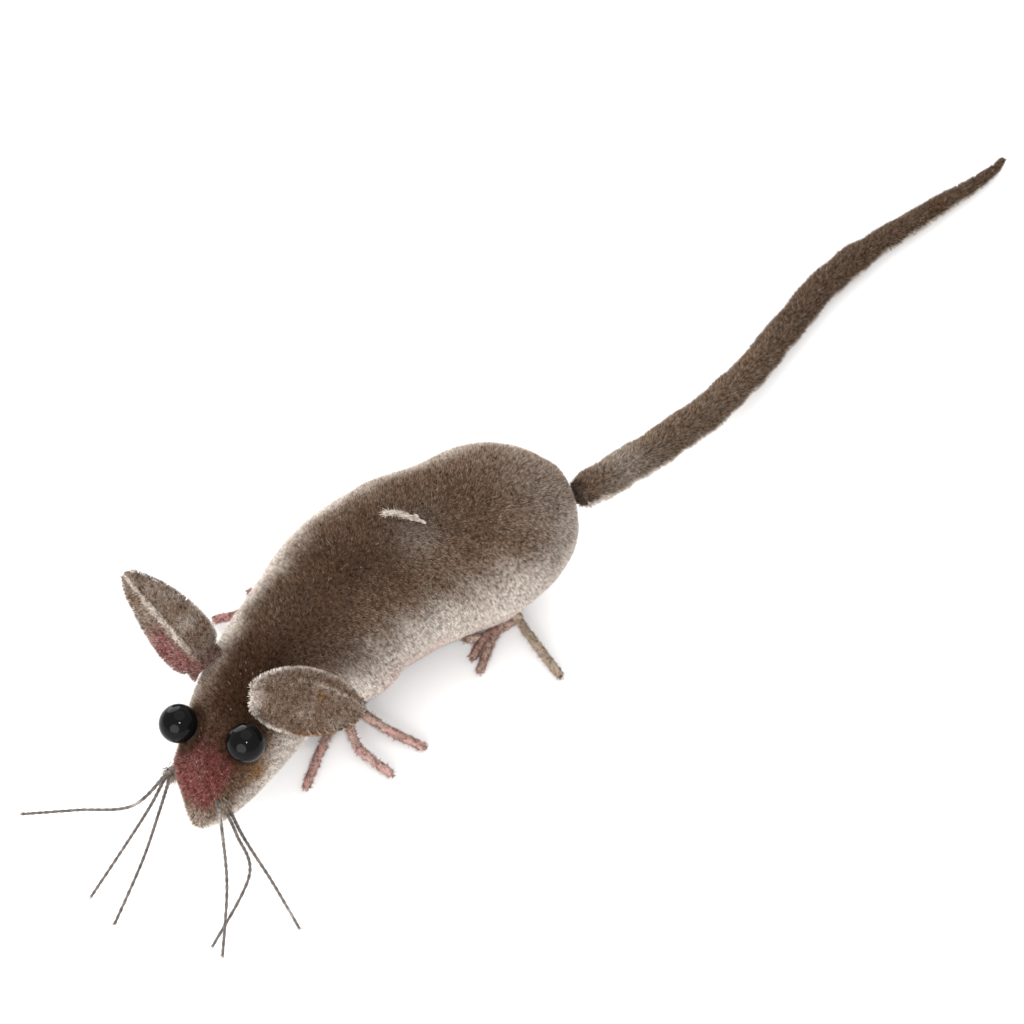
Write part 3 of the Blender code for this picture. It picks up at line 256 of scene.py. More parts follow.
def near_point(points, place, angle, radius, power=2.0):
    spot, _ = one(place, angle)
    return np.exp(-((np.linalg.norm(points - spot, axis=1) / radius) ** power))


def body_zones(place, angle, points):
    """Shares of pale, pink, dark and stain in the velvet's colour, as an N x 4 array; the dark share holds painted
    shade as well as darker pile.
    """
    side = np.where(angle <= 90, angle, 180 - angle)
    left = angle < 90
    drift = 3.2 * waves(points, 9 * MM, 5) + 2.0 * waves(points, 2.5 * MM, 6)
    side = side + drift
    # The flanks pale downwards. The right flank, turned from the camera, pales from higher up than the left: partly
    # its own paler pile, partly painted sheen along that side's silhouette.
    pale = np.where(left, ramp(side, 44, -14), ramp(side, 76, 22))
    head = ramp(place, 0.76, 0.86)
    cheek = np.where(left, ramp(side, 44, 2), ramp(side, 52, 10))
    pale = pale * (1 - head) + cheek * head
    pale = np.maximum(pale, 0.22 * ramp(place, 0.26, 0.06) + 0.55 * ramp(place, 0.14, 0.02) * ramp(side, 62, 14))
    pale = np.maximum(pale, 0.26 * ramp(place, 0.965, 0.985))
    pale = np.maximum(pale, 0.30 * near_point(points, 0.40, 70.0, 4.5 * MM))
    belly = ramp(side, -10, -34)
    pink = belly * (0.12 + 0.38 * ramp(place, 0.30, 0.44) * ramp(place, 0.74, 0.64))
    pink = np.maximum(pink, 0.45 * near_point(points, 0.60, -24.0, 4.6 * MM))
    pink = np.maximum(pink, 0.7 * near_point(points, 0.283, -50.0, 2.4 * MM))
    patch = ramp(place + drift * 0.001, 0.852, 0.918) * ramp(place, 0.984, 0.955)
    patch = patch * ramp(angle + drift, 50, 68) * ramp(angle + drift, 186, 126)
    pink = np.maximum(pink, patch)
    pale = pale * (1 - 0.85 * patch)
    # Painted shade: the pile darkened over the top of the back and the head, most over the middle of the back.
    top = np.where(left, ramp(side, 26, 74), ramp(side, 34, 76))
    shade = 0.60 * ramp(place, 0.10, 0.52) + 0.34 * ramp(place, 0.68, 0.82)
    shade *= 1 - 0.9 * ramp(place, 0.925, 0.965)
    dark = np.clip(top * shade + 0.07 * waves(points, 13 * MM, 9), 0, 1) * (1 - 0.75 * patch)
    # Painted shade: a dark ring of pile round each eye, where the bead sits in its socket.
    for centre in EYES.values():
        away = np.linalg.norm(points - centre, axis=1)
        dark = np.maximum(dark, 0.95 * ramp(away, EYE_R + 2.7 * MM, EYE_R + 1.0 * MM))
    dark = np.maximum(dark, 0.2 * near_point(points, 0.283, -50.0, 2.2 * MM))
    stain = 0.85 * near_point(points, 0.902, 26.0, 1.9 * MM)
    stain = np.maximum(stain, 0.35 * near_point(points, 0.905, 48.0, 1.6 * MM))
    return np.stack([pale, pink, dark, stain], axis=1)


# ---- meshes

def linked(made):
    bpy.context.scene.collection.objects.link(made)
    return made


def new_object(name, mesh, finish, body):
    made = linked(bpy.data.objects.new(name, mesh))
    mesh.materials.clear()
    mesh.materials.append(finish)
    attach(made, body)
    return made


def settled(mesh, weld=None):
    """The mesh with its faces turned outwards, and points closer than weld made one."""
    edit = bmesh.new()
    edit.from_mesh(mesh)
    if weld:
        bmesh.ops.remove_doubles(edit, verts=edit.verts, dist=weld)
    bmesh.ops.recalc_face_normals(edit, faces=edit.faces)
    edit.to_mesh(mesh)
    edit.free()
    mesh.shade_smooth()
    return mesh


def grid_mesh(name, grid, closed=True):
    """Closed skin over a grid of rings, with a cap at each end."""
    rings, sides = grid.shape[:2]
    mesh = bpy.data.meshes.new(name)
    i, j = np.meshgrid(np.arange(rings - 1), np.arange(sides), indexing="ij")
    k = (j + 1) % sides
    quads = np.stack([i * sides + j, i * sides + k, (i + 1) * sides + k, (i + 1) * sides + j], axis=-1)
    faces = [tuple(q) for q in quads.reshape(-1, 4).tolist()]
    if closed:
        faces.append(tuple(range(sides - 1, -1, -1)))
        faces.append(tuple((rings - 1) * sides + n for n in range(sides)))
    mesh.from_pydata(grid.reshape(-1, 3).tolist(), [], faces)
    return settled(mesh)


def joined(name, meshes):
    """One mesh from several, which are removed."""
    whole = bmesh.new()
    for part in meshes:
        whole.from_mesh(part)
        bpy.data.meshes.remove(part)
    mesh = bpy.data.meshes.new(name)
    whole.to_mesh(mesh)
    whole.free()
    mesh.shade_smooth()
    return mesh


def zone_rows(count, pale=0.0, pink=0.0, dark=0.0, stain=0.0):
    """Shares of the zones' colours, as a count x 4 array; each is a number or one value a row."""
    return np.stack([np.broadcast_to(share, (count,)) for share in (pale, pink, dark, stain)], axis=1)


def colour_layer(mesh, name, values):
    """Four shares for each vertex, which the materials read."""
    layer = mesh.color_attributes.new(name, "FLOAT_COLOR", "POINT")
    layer.data.foreach_set("color", np.ascontiguousarray(values, np.float32).ravel())


def mesh_points(mesh):
    points = np.zeros(len(mesh.vertices) * 3, np.float32)
    mesh.vertices.foreach_get("co", points)
    return points.reshape(-1, 3).astype(float)


def strand_mesh(name, roots, ways, normals, lengths, radius, zones, tones):
    """Short hairs, each a slender closed spike with three sides, with its own cell on the UV map OFBake."""
    count = len(roots)
    side = unit(np.cross(ways, unit(rng.normal(size=(count, 3)))))
    up = np.cross(ways, side)
    spread = np.broadcast_to(radius, (count,))[:, None]
    points = np.zeros((count, 4, 3))
    for corner in range(3):
        turn = 2 * math.pi * corner / 3
        points[:, corner] = roots + (side * math.cos(turn) + up * math.sin(turn)) * spread
    points[:, 3] = roots + ways * lengths[:, None]
    mesh = bpy.data.meshes.new(name)
    mesh.vertices.add(count * 4)
    mesh.vertices.foreach_set("co", points.astype(np.float32).ravel())
    corners = np.array([0, 1, 3, 1, 2, 3, 2, 0, 3, 2, 1, 0])
    loops = (np.arange(count)[:, None] * 4 + corners).astype(np.int32)
    mesh.loops.add(count * 12)
    mesh.loops.foreach_set("vertex_index", loops.ravel())
    mesh.polygons.add(count * 4)
    mesh.polygons.foreach_set("loop_start", np.arange(0, count * 12, 3, dtype=np.int32))
    mesh.update(calc_edges=True)
    cells = math.ceil(math.sqrt(count))
    cell = np.stack([np.arange(count) % cells, np.arange(count) // cells], axis=1)
    corner_uv = np.array([(0.12, 0.12), (0.12, 0.88), (0.30, 0.50), (0.88, 0.50)])
    uv = (cell[:, None, :] + corner_uv[corners][None]) / cells
    layer = mesh.uv_layers.new(name="OFBake")
    layer.data.foreach_set("uv", uv.astype(np.float32).ravel())
    along = np.array([0.0, 0.0, 0.0, 1.0])
    strand = np.zeros((count, 4, 4))
    strand[:, :, 0] = along
    strand[:, :, 1] = tones[:, None]
    strand[:, :, 2] = rng.random(count)[:, None]
    strand[:, :, 3] = 1.0
    colour_layer(mesh, "zone", np.repeat(zones[:, None, :], 4, axis=1))
    colour_layer(mesh, "strand", strand)
    mesh.shade_smooth()
    out = (points[:, :3] - roots[:, None]) / spread[:, None]
    facing = np.concatenate([unit(normals[:, None] * 0.9 + out * 0.55), normals[:, None]], axis=1)
    mesh.normals_split_custom_set_from_vertices(unit(facing).reshape(-1, 3).tolist())
    return mesh


def cloth_layers(mesh, zones):
    """The backing's own shares: the colour of the pile's roots, with their painted shade."""
    colour_layer(mesh, "zone", zones)
    colour_layer(mesh, "strand", np.tile((0.35, 0.5, 0.5, 1.0), (len(mesh.vertices), 1)))


def pile_pieces(name, parts, roots, ways, normals, lengths, radius, zones, finish):
    """Pile in as many pieces as parts names, one after another along its length."""
    tones = rng.random(len(roots))
    edges = np.linspace(0, len(roots), len(parts) + 1).astype(int)
    for part, start, stop in zip(parts, edges[:-1], edges[1:]):
        span = slice(start, min(stop, start + MOST_STRANDS))
        mesh = strand_mesh(
            name + part, roots[span], ways[span], normals[span], lengths[span], radius, zones[span], tones[span]
        )
        new_object(name + part, mesh, finish, "body")


def evaluated_mesh(made):
    """The object's mesh with its modifiers applied, in place of its own."""
    bpy.context.view_layer.update()
    graph = bpy.context.evaluated_depsgraph_get()
    mesh = bpy.data.meshes.new_from_object(made.evaluated_get(graph))
    made.modifiers.clear()
    made.data = mesh
    return mesh


def carve(made, guide_mesh, operation="DIFFERENCE"):
    """Boolean with a guide that is then removed."""
    guide = linked(bpy.data.objects.new("guide", guide_mesh))
    step = made.modifiers.new("carve", "BOOLEAN")
    step.operation = operation
    step.solver = "EXACT"
    step.object = guide
    evaluated_mesh(made)
    bpy.data.objects.remove(guide)


def loft_grid(places, sides, depth):
    rings = []
    angle = np.arange(sides) * 360.0 / sides - 90.0
    for place in places:
        where = np.full(sides, place)
        rings.append(sunk(skin_points(where, angle), skin_normals(where, angle), depth))
    return np.array(rings)


def spread_places(count, start=0.0, stop=1.0):
    share = np.linspace(0, 1, count)
    place = 0.45 * share + 0.55 * (0.5 - 0.5 * np.cos(math.pi * share))
    return start + (stop - start) * place


def plate_outline(extra):
    half_x = (plate_high.x - plate_low.x) / 2 - PLATE_CORNER
    half_y = (plate_high.y - plate_low.y) / 2 - PLATE_CORNER
    centre = (plate_low + plate_high) / 2
    outline = []
    steps = 10
    for quarter, (sx, sy) in enumerate(((1, 1), (-1, 1), (-1, -1), (1, -1))):
        for i in range(steps + 1):
            turn = math.pi / 2 * (quarter + i / steps)
            outline.append((
                centre.x + sx * half_x + (PLATE_CORNER + extra) * math.cos(turn),
                centre.y + sy * half_y + (PLATE_CORNER + extra) * math.sin(turn),
            ))
    return outline


def off_plate(points):
    """Distance outside the base plate's outline, seen from below."""
    centre = (plate_low + plate_high) / 2
    half = (plate_high - plate_low) / 2
    dx = np.abs(points[:, 0] - centre.x) - (half.x - PLATE_CORNER)
    dy = np.abs(points[:, 1] - centre.y) - (half.y - PLATE_CORNER)
    outside = np.hypot(np.maximum(dx, 0), np.maximum(dy, 0))
    return outside + np.minimum(np.maximum(dx, dy), 0) - PLATE_CORNER


# ---- materials

BLACK = (0.0, 0.0, 0.0)
WHITE = (1.0, 1.0, 1.0)


class Look:
    """A material's nodes. A value may be a socket, a number or a colour of three shares."""

    def __init__(self, name, roughness, **constants):
        self.material = bpy.data.materials.new(name)
        self.material.use_nodes = True
        self.tree = self.material.node_tree
        self.shader = self.tree.nodes["Principled BSDF"]
        for key, value in {"Roughness": roughness, **constants}.items():
            self.shader.inputs[key.replace("_", " ")].default_value = value

    def node(self, kind, **settings):
        made = self.tree.nodes.new("ShaderNode" + kind)
        for key, value in settings.items():
            setattr(made, key, value)
        return made

    def feed(self, socket, value):
        if isinstance(value, bpy.types.NodeSocket):
            self.tree.links.new(value, socket)
        elif isinstance(value, tuple):
            socket.default_value = (*value, 1.0)
        elif value is not None:
            socket.default_value = value

    def shade(self, name, value):
        """Feeds one of the shader's sockets."""
        self.feed(self.shader.inputs[name], value)

    def math(self, operation, first, second, third=None, clamp=False):
        made = self.node("Math", operation=operation, use_clamp=clamp)
        for socket, value in zip(made.inputs, (first, second, third)):
            self.feed(socket, value)
        return made.outputs[0]

    def mix(self, share, first, second, blend="MIX"):
        made = self.node("Mix", data_type="RGBA", blend_type=blend)
        for place, value in ((0, share), (6, first), (7, second)):
            self.feed(made.inputs[place], value)
        return made.outputs[2]

    def noise(self, scale, detail=3.0, rough=0.55, stretch=None):
        where = self.node("TexCoord").outputs["Object"]
        if stretch:
            placed = self.node("Mapping")
            placed.inputs["Scale"].default_value = stretch
            self.feed(placed.inputs["Vector"], where)
            where = placed.outputs[0]
        made = self.node("TexNoise")
        for name, value in (("Scale", scale), ("Detail", detail), ("Roughness", rough), ("Vector", where)):
            self.feed(made.inputs[name], value)
        return made.outputs["Fac"]

    def fade(self, value, low, high, dark, light):
        """The dark colour where the value is low, the light one where it is high."""
        made = self.node("ValToRGB")
        self.feed(made.inputs[0], value)
        for element, at, colour in zip(made.color_ramp.elements, (low, high), (dark, light)):
            element.position = at
            element.color = (*colour, 1.0)
        return made.outputs[0]

    def split(self, attribute):
        """Three shares of a colour layer, and its fourth."""
        source = self.node("Attribute", attribute_name=attribute)
        made = self.node("SeparateColor")
        self.feed(made.inputs[0], source.outputs["Color"])
        return (*made.outputs, source.outputs["Alpha"])

    def bump(self, height, strength, distance):
        made = self.node("Bump")
        for name, value in (("Strength", strength), ("Distance", distance), ("Height", height)):
            self.feed(made.inputs[name], value)
        self.shade("Normal", made.outputs[0])


BACK = ((0.029, 0.016, 0.009), (0.240, 0.148, 0.094))
EAR_BACK = ((0.048, 0.029, 0.019), (0.245, 0.163, 0.113))
TAIL_BACK = ((0.034, 0.020, 0.013), (0.240, 0.160, 0.105))
FLANK = ((0.250, 0.198, 0.158), (0.940, 0.860, 0.775))
ROSE = ((0.050, 0.011, 0.011), (0.235, 0.064, 0.060))
BLUSH = ((0.420, 0.210, 0.190), (0.900, 0.660, 0.610))
OCHRE = ((0.055, 0.026, 0.010), (0.340, 0.170, 0.055))
# Colours of the dark zone: darker pile, and the painted shade over the back, the head, round the eyes, along the ear's
# crease and at the tail's root.
DARK_PILE_AND_SHADE = ((0.012, 0.006, 0.003), (0.078, 0.038, 0.021))
LINT = (0.50, 0.44, 0.38)
SPECKS = ((0.45, 0.43, 0.42), (1.06, 1.06, 1.06))


def pile_look(name, back, flank, rose, blush):
    """Velvet and flock: back, flank, rose and blush are (dark, light) pairs of colours across the hairs."""
    look = Look(
        name, 0.95, Sheen_Weight=0.08, Sheen_Roughness=0.45, Sheen_Tint=(1.0, 0.82, 0.68, 1.0), Specular_IOR_Level=0.04
    )
    math_of, mix = look.math, look.mix
    pale, pink, dark, stain = look.split("zone")
    along, tone, odd, _ = look.split("strand")
    mottle = look.noise(420.0, 4.0, 0.6)
    tone = math_of("ADD", math_of("MULTIPLY", tone, 0.62), math_of("MULTIPLY", mottle, 0.40))
    # Tone lighter from root to tip, part of the painted shade in the pile.
    tone = math_of("ADD", tone, math_of("MULTIPLY_ADD", along, 0.30, -0.16))
    pale = math_of("ADD", pale, math_of("MULTIPLY_ADD", odd, 0.44, -0.22), clamp=True)
    colour = mix(pale, look.fade(tone, 0.0, 0.95, *back), look.fade(tone, 0.0, 0.9, *flank))
    pinks = mix(pale, look.fade(tone, 0.0, 0.95, *rose), look.fade(tone, 0.0, 0.9, *blush))
    mottled_pink = math_of("MULTIPLY", pink, math_of("MULTIPLY_ADD", mottle, 0.5, 0.72), clamp=True)
    colour = mix(mottled_pink, colour, pinks)
    colour = mix(stain, colour, look.fade(tone, 0.0, 0.9, *OCHRE))
    # The dark zone: darker pile and painted shade.
    colour = mix(dark, colour, look.fade(tone, 0.0, 0.9, *DARK_PILE_AND_SHADE))
    lint = look.fade(odd, 0.994, 0.997, BLACK, WHITE)
    colour = mix(math_of("MULTIPLY", lint, 0.5), colour, LINT)
    specks = look.fade(look.noise(1500.0, 2.0, 0.6), 0.36, 0.54, *SPECKS)
    colour = mix(1.0, colour, specks, "MULTIPLY")
    # Painted shade in the pile: each hair darker at its root, deep among the others, and lighter at its tip.
    depth = math_of("MULTIPLY_ADD", along, 0.62, 0.66)
    grey = look.node("CombineColor")
    for socket in grey.inputs:
        look.feed(socket, depth)
    look.shade("Base Color", mix(1.0, colour, grey.outputs[0], "MULTIPLY"))
    return look.material


def wadding_look():
    look = Look("wadding", 0.95, Sheen_Weight=0.3)
    cloud = look.noise(900.0, 6.0, 0.7)
    look.shade("Base Color", look.fade(cloud, 0.3, 0.7, (0.55, 0.50, 0.42), (0.86, 0.82, 0.74)))
    look.bump(cloud, 0.6, 0.3 * MM)
    return look.material


def glass_look():
    look = Look("black_glass", 0.06, Specular_IOR_Level=0.09)
    dust = look.noise(2600.0, 5.0, 0.75)
    look.shade("Base Color", look.fade(dust, 0.70, 0.78, (0.003, 0.003, 0.003), (0.040, 0.035, 0.030)))
    look.shade("Roughness", look.math("MULTIPLY_ADD", look.noise(500.0), 0.12, 0.02))
    return look.material


def thread_look(name, dark, light, fleck):
    """Waxed thread: streaks along it, worn pale in places."""
    look = Look(name, 0.7, Sheen_Weight=0.3)
    streak = look.noise(1500.0, 4.0, 0.65)
    worn = look.fade(look.noise(260.0, 5.0, 0.7), 0.58, 0.72, BLACK, WHITE)
    look.shade("Base Color", look.mix(worn, look.fade(streak, 0.35, 0.68, dark, light), fleck))
    look.bump(streak, 0.5, 0.08 * MM)
    return look.material


def metal_look(name, dark, light, tarnish, roughness, grain, stretch=None):
    """Metal with rolling grain, tarnish in patches and rubbed roughness."""
    look = Look(name, roughness, Metallic=1.0)
    lines = look.noise(grain, 6.0, 0.7, stretch)
    patches = look.noise(240.0, 5.0, 0.65)
    tarnished = look.fade(patches, 0.50, 0.78, BLACK, WHITE)
    look.shade("Base Color", look.mix(tarnished, look.fade(lines, 0.3, 0.7, dark, light), tarnish))
    look.shade("Roughness", look.math("MULTIPLY_ADD", patches, 0.35, roughness - 0.14))
    look.bump(lines, 0.25, 0.02 * MM)
    return look.material


def rubber_look():
    look = Look("rubber", 0.8)
    dust = look.noise(900.0, 5.0, 0.7)
    look.shade("Base Color", look.fade(dust, 0.4, 0.75, (0.020, 0.020, 0.021), (0.11, 0.10, 0.09)))
    look.bump(dust, 0.4, 0.05 * MM)
    return look.material


VELVET = pile_look("velvet", BACK, FLANK, ROSE, BLUSH)
EAR_VELVET = pile_look("ear_velvet", EAR_BACK, FLANK, ROSE, BLUSH)
PLUSH = pile_look("tail_plush", TAIL_BACK, FLANK, ROSE, BLUSH)
FLOCK = pile_look(
    "pink_flock", ((0.17, 0.12, 0.08), (0.60, 0.48, 0.36)), FLANK,
    ((0.18, 0.060, 0.055), (0.62, 0.31, 0.28)), ((0.42, 0.22, 0.20), (0.88, 0.64, 0.59)),
)
WADDING = wadding_look()
GLASS = glass_look()
WHISKER_THREAD = thread_look("whisker_thread", (0.018, 0.013, 0.011), (0.13, 0.10, 0.085), (0.38, 0.34, 0.31))
SEAM_THREAD = thread_look("seam_thread", (0.16, 0.125, 0.095), (0.42, 0.36, 0.30), (0.58, 0.53, 0.47))
STITCH_THREAD = thread_look("stitch_thread", (0.05, 0.03, 0.02), (0.30, 0.20, 0.13), (0.55, 0.46, 0.36))
TINPLATE = metal_look(
    "tinplate", (0.46, 0.46, 0.45), (0.68, 0.68, 0.66), (0.24, 0.21, 0.18), 0.38, 300.0, (1.0, 0.04, 1.0)
)
BRASS = metal_look("brass", (0.58, 0.40, 0.15), (0.83, 0.64, 0.32), (0.26, 0.16, 0.07), 0.32, 700.0)
STEEL = metal_look("steel", (0.40, 0.40, 0.41), (0.62, 0.62, 0.63), (0.20, 0.16, 0.13), 0.30, 900.0)
BLUED = metal_look("spring_steel", (0.06, 0.08, 0.14), (0.20, 0.24, 0.34), (0.10, 0.07, 0.05), 0.30, 700.0)
RUBBER = rubber_look()


# ---- velvet body

def velvet_skin():
    """The cloth of head and body: a shell with its openings for the base plate, key and eyes."""
    mesh = grid_mesh("velvet_skin", loft_grid(spread_places(150), 132, BACKING))
    skin = new_object("velvet_skin", mesh, VELVET, "body")
    inner_stop = 0.985
    while station(np.array([inner_stop]))[1][0] < SKIN + 2.0 * MM:
        inner_stop -= 0.001
    hollow = loft_grid(spread_places(60, 0.004, inner_stop), 72, SKIN + 0.02 * MM)
    carve(skin, grid_mesh("hollow", hollow))
    outline = plate_outline(GAP)
    rise = [[(x, y, z) for x, y in outline] for z in (-2 * MM, BELLY_HEIGHT + 6 * MM)]
    carve(skin, grid_mesh("opening", np.array(rise)))
    key_y, key_z = WINDING[0] + SHIFT[1], WINDING[1]
    carve(skin, round_bar((SHIFT[0] - 30 * MM, key_y, key_z), (SHIFT[0], key_y, key_z), 1.8 * MM, 32))
    for centre in EYES.values():
        carve(skin, ball_mesh("socket", centre, SOCKET_R, 40, 24))
    places, angles, tree = body_map()
    points = mesh_points(skin.data)
    near = np.array([tree.find(p)[1] for p in points])
    cloth_layers(skin.data, body_zones(places[near], angles[near], points))
    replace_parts(skin, "body_cover")


def body_map():
    """Places and angles of a fine net over the body, and a tree that finds the nearest."""
    place, angle = np.meshgrid(spread_places(160), np.arange(120) * 3.0 - 90.0, indexing="ij")
    place = place.ravel()
    angle = angle.ravel()
    points = skin_points(place, angle)
    tree = KDTree(len(points))
    for i, point in enumerate(points):
        tree.insert(point, i)
    tree.balance()
    return place, angle, tree


def round_bar(start, end, radius, sides):
    """Closed round bar between two points."""
    start = np.array(start)
    end = np.array(end)
    way = unit(end - start)
    side = unit(np.cross(way, (0.3, 0.5, 0.81)))
    up = np.cross(way, side)
    turn = np.arange(sides) * 2 * math.pi / sides
    ring = radius * (np.cos(turn)[:, None] * side + np.sin(turn)[:, None] * up)
    return grid_mesh("bar", np.array([start + ring, end + ring]))


def ball_mesh(name, centre, radius, sides, rows, out=(0, 0, 1), flat=1.0):
    """Round bead with its poles along out, pressed flat by a share along it."""
    out = unit(np.array(out, float))
    side = unit(np.cross(out, (0.31, 0.52, 0.80)))
    up = np.cross(out, side)
    turn = np.arange(sides) * 2 * math.pi / sides
    rings = []
    for i in range(rows + 1):
        lean = math.pi * (0.015 + 0.97 * i / rows)
        ring = math.sin(lean) * (np.cos(turn)[:, None] * side + np.sin(turn)[:, None] * up)
        rings.append(centre + radius * (ring - out * (math.cos(lean) * flat)))
    return grid_mesh(name, np.array(rings))


def scatter_on_body(per_area):
    """Even random places and angles over the body's surface, in order along it."""
    place, angle = np.meshgrid(spread_places(260), np.arange(241) * 1.5 - 90.0, indexing="ij")
    net = skin_points(place.ravel(), angle.ravel()).reshape(*place.shape, 3)
    one_way = net[1:, :-1] - net[:-1, :-1]
    other = net[:-1, 1:] - net[:-1, :-1]
    area = np.linalg.norm(np.cross(one_way, other), axis=2).ravel()
    count = int(area.sum() / MM ** 2 * per_area)
    cells = np.sort(rng.choice(len(area), count, p=area / area.sum()))
    row, column = np.divmod(cells, place.shape[1] - 1)
    inner = rng.random((2, count))
    places = place[row, 0] + (place[np.minimum(row + 1, len(place) - 1), 0] - place[row, 0]) * inner[0]
    return places, angle[0, column] + 1.5 * inner[1]


def body_pile():
    """The velvet's pile, laid back along the body and down its flanks."""
    place, angle = scatter_on_body(PILE_PER_MM2)
    outside = skin_points(place, angle)
    keep = ~((off_plate(outside) < 0.35 * MM) & (outside[:, 2] < BELLY_HEIGHT + 1.0 * MM))
    from_key = np.hypot(outside[:, 1] - WINDING[0] - SHIFT[1], outside[:, 2] - WINDING[1])
    keep &= ~((from_key < 1.95 * MM) & (outside[:, 0] < SHIFT[0]))
    for centre in EYES.values():
        keep &= np.linalg.norm(outside - centre, axis=1) > SOCKET_R
    place, angle, outside = place[keep], angle[keep], outside[keep]
    normals = skin_normals(place, angle)
    roots = sunk(outside, normals, BACKING)
    back = -body_frame(place)[2]
    down = np.stack([np.tanh(normals[:, 0] * 2.5) * 0.45, np.zeros(len(place)), np.full(len(place), -0.75)], axis=1)
    sway = np.stack([waves(outside, 8 * MM, seed) for seed in (21, 22, 23)], axis=1)
    lay = back * 0.30 + down * 0.75 + sway * 0.22
    lay -= normals * np.sum(lay * normals, axis=1, keepdims=True)
    ways = unit(normals * 0.86 + lay * 0.62 + rng.normal(size=normals.shape) * 0.20)
    lengths = PILE_LENGTH * rng.uniform(0.72, 1.12, len(place))
    lengths *= 1 - 0.25 * ramp(place, 0.88, 0.93)
    for centre in EYES.values():
        away = outside - centre
        collar = ramp(np.linalg.norm(away, axis=1), EYE_R + 0.9 * MM, EYE_R + 0.25 * MM)[:, None]
        away = unit(away - normals * np.sum(away * normals, axis=1, keepdims=True))
        ways = unit(ways * (1 - 0.6 * collar) + (normals * 0.85 + away * 0.75) * collar)
        lengths *= 1 + 0.75 * collar[:, 0]
    zones = body_zones(place, angle, outside)
    parts = ("rump", "hips", "waist", "chest", "head")
    pile_pieces("pile_", parts, roots, ways, normals, lengths, PILE_R, zones, VELVET)


def wadding(name, cad_node):
    """Stuffing: the CAD form with a cottony surface."""
    made = new_object(name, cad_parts[cad_node].data.copy(), WADDING, "body")
    step = made.modifiers.new("remesh", "REMESH")
    step.mode = "VOXEL"
    step.voxel_size = 0.8 * MM
    mesh = evaluated_mesh(made)
    points = mesh_points(mesh)
    normals = np.zeros(len(points) * 3, np.float32)
    mesh.vertices.foreach_get("normal", normals)
    fluff = 0.10 * MM + 0.07 * MM * waves(points, 3.0 * MM, 31)
    points -= normals.reshape(-1, 3) * np.maximum(fluff, 0)[:, None]
    mesh.vertices.foreach_set("co", points.astype(np.float32).ravel())
    mesh.update()
    mesh.shade_smooth()
    mesh.materials.clear()
    mesh.materials.append(WADDING)
    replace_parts(made, cad_node)


# ---- tubes

def tube_frames(route, radii, steps):
    """Centres, widths and turning frames along a smooth curve through a route."""
    rows = np.column_stack([np.asarray(route, float), radii])
    fine = curve_through(rows, np.linspace(0, len(rows) - 1, steps + 1))
    centres, widths = fine[:, :3], fine[:, 3]
    ahead = unit(np.gradient(centres, axis=0))
    side = unit(np.cross(ahead[0], (0.21, 0.17, 0.96)))
    sides = []
    for way in ahead:
        side = unit(side - way * np.dot(side, way))
        sides.append(side)
    sides = np.array(sides)
    return centres, widths, ahead, sides, np.cross(ahead, sides)


def tube_grid(frames, count, swell=None):
    """Rings round a tube; swell(share, turn) scales the width."""
    centres, widths, _, side, up = frames
    turn = np.arange(count) * 2 * math.pi / count
    share = np.linspace(0, 1, len(centres))
    scale = np.ones((len(centres), count))
    if swell:
        scale = swell(share[:, None], turn[None, :])
    reach = widths[:, None] * scale
    return (centres[:, None] + side[:, None] * (np.cos(turn)[None] * reach)[..., None]
            + up[:, None] * (np.sin(turn)[None] * reach)[..., None])


def tube_scatter(frames, per_area, swell=None):
    """Roots, normals and ways ahead for hairs spread evenly over a tube, in order along it."""
    centres, widths, ahead, side, up = frames
    steps = len(centres) - 1
    length = np.linalg.norm(np.diff(centres, axis=0), axis=1)
    area = length * 2 * math.pi * (widths[1:] + widths[:-1]) / 2
    count = int(area.sum() / MM ** 2 * per_area)
    row = np.sort(rng.choice(steps, count, p=area / area.sum()))
    inner = rng.random(count)
    turn = rng.random(count) * 2 * math.pi

    def between(values):
        values = np.asarray(values)
        share = inner if values.ndim == 1 else inner[:, None]
        return values[row] * (1 - share) + values[row + 1] * share

    normals = unit(between(side) * np.cos(turn)[:, None] + between(up) * np.sin(turn)[:, None])
    scale = swell((row + inner) / steps, turn) if swell else 1.0
    roots = between(centres) + normals * (between(widths) * scale)[:, None]
    return roots, normals, unit(between(ahead)), (row + inner) / steps


# X and Y in millimetres from the root, height above the resting line and girth, as shares.
TAIL_STEPS = [
    (0.0, 0.0, 1.0, 0.86),
    (-0.9, 2.6, 0.97, 0.95),
    (-4.0, 8.5, 0.80, 1.0),
    (-9.0, 17.5, 0.55, 1.0),
    (-14.5, 27.5, 0.32, 1.0),
    (-21.0, 38.0, 0.12, 0.95),
    (-27.5, 47.5, 0.02, 0.92),
    (-33.5, 56.0, 0.0, 0.90),
    (-40.0, 66.5, 0.0, 0.88),
    (-45.0, 78.5, 0.0, 0.72),
    (-49.0, 91.0, 0.0, 0.58),
    (-52.0, 100.5, 0.0, 0.42),
    (-54.4, 106.8, 0.0, 0.30),
    (-56.2, 110.0, 0.05, 0.16),
]
TAIL_PILE = 0.95 * MM
TAIL_PILE_PER_MM2 = 27.0
TAIL_KNOT = 2.3           # where round the tail its lump sits


def tail_route():
    rump = station(np.array([0.0]))[0][0]
    root = rump + np.array((-0.3, 0.8, 1.0)) * MM
    route = []
    radii = []
    for x, y, lift, girth in TAIL_STEPS:
        floor = TAIL_FLOOR + TAIL_R * girth
        route.append((root[0] + x * MM, root[1] + y * MM, floor + (root[2] - floor) * lift))
        radii.append(max(TAIL_R * girth - 0.62 * TAIL_PILE * min(1.0, girth * 1.3), 0.20 * MM))
    return route, radii


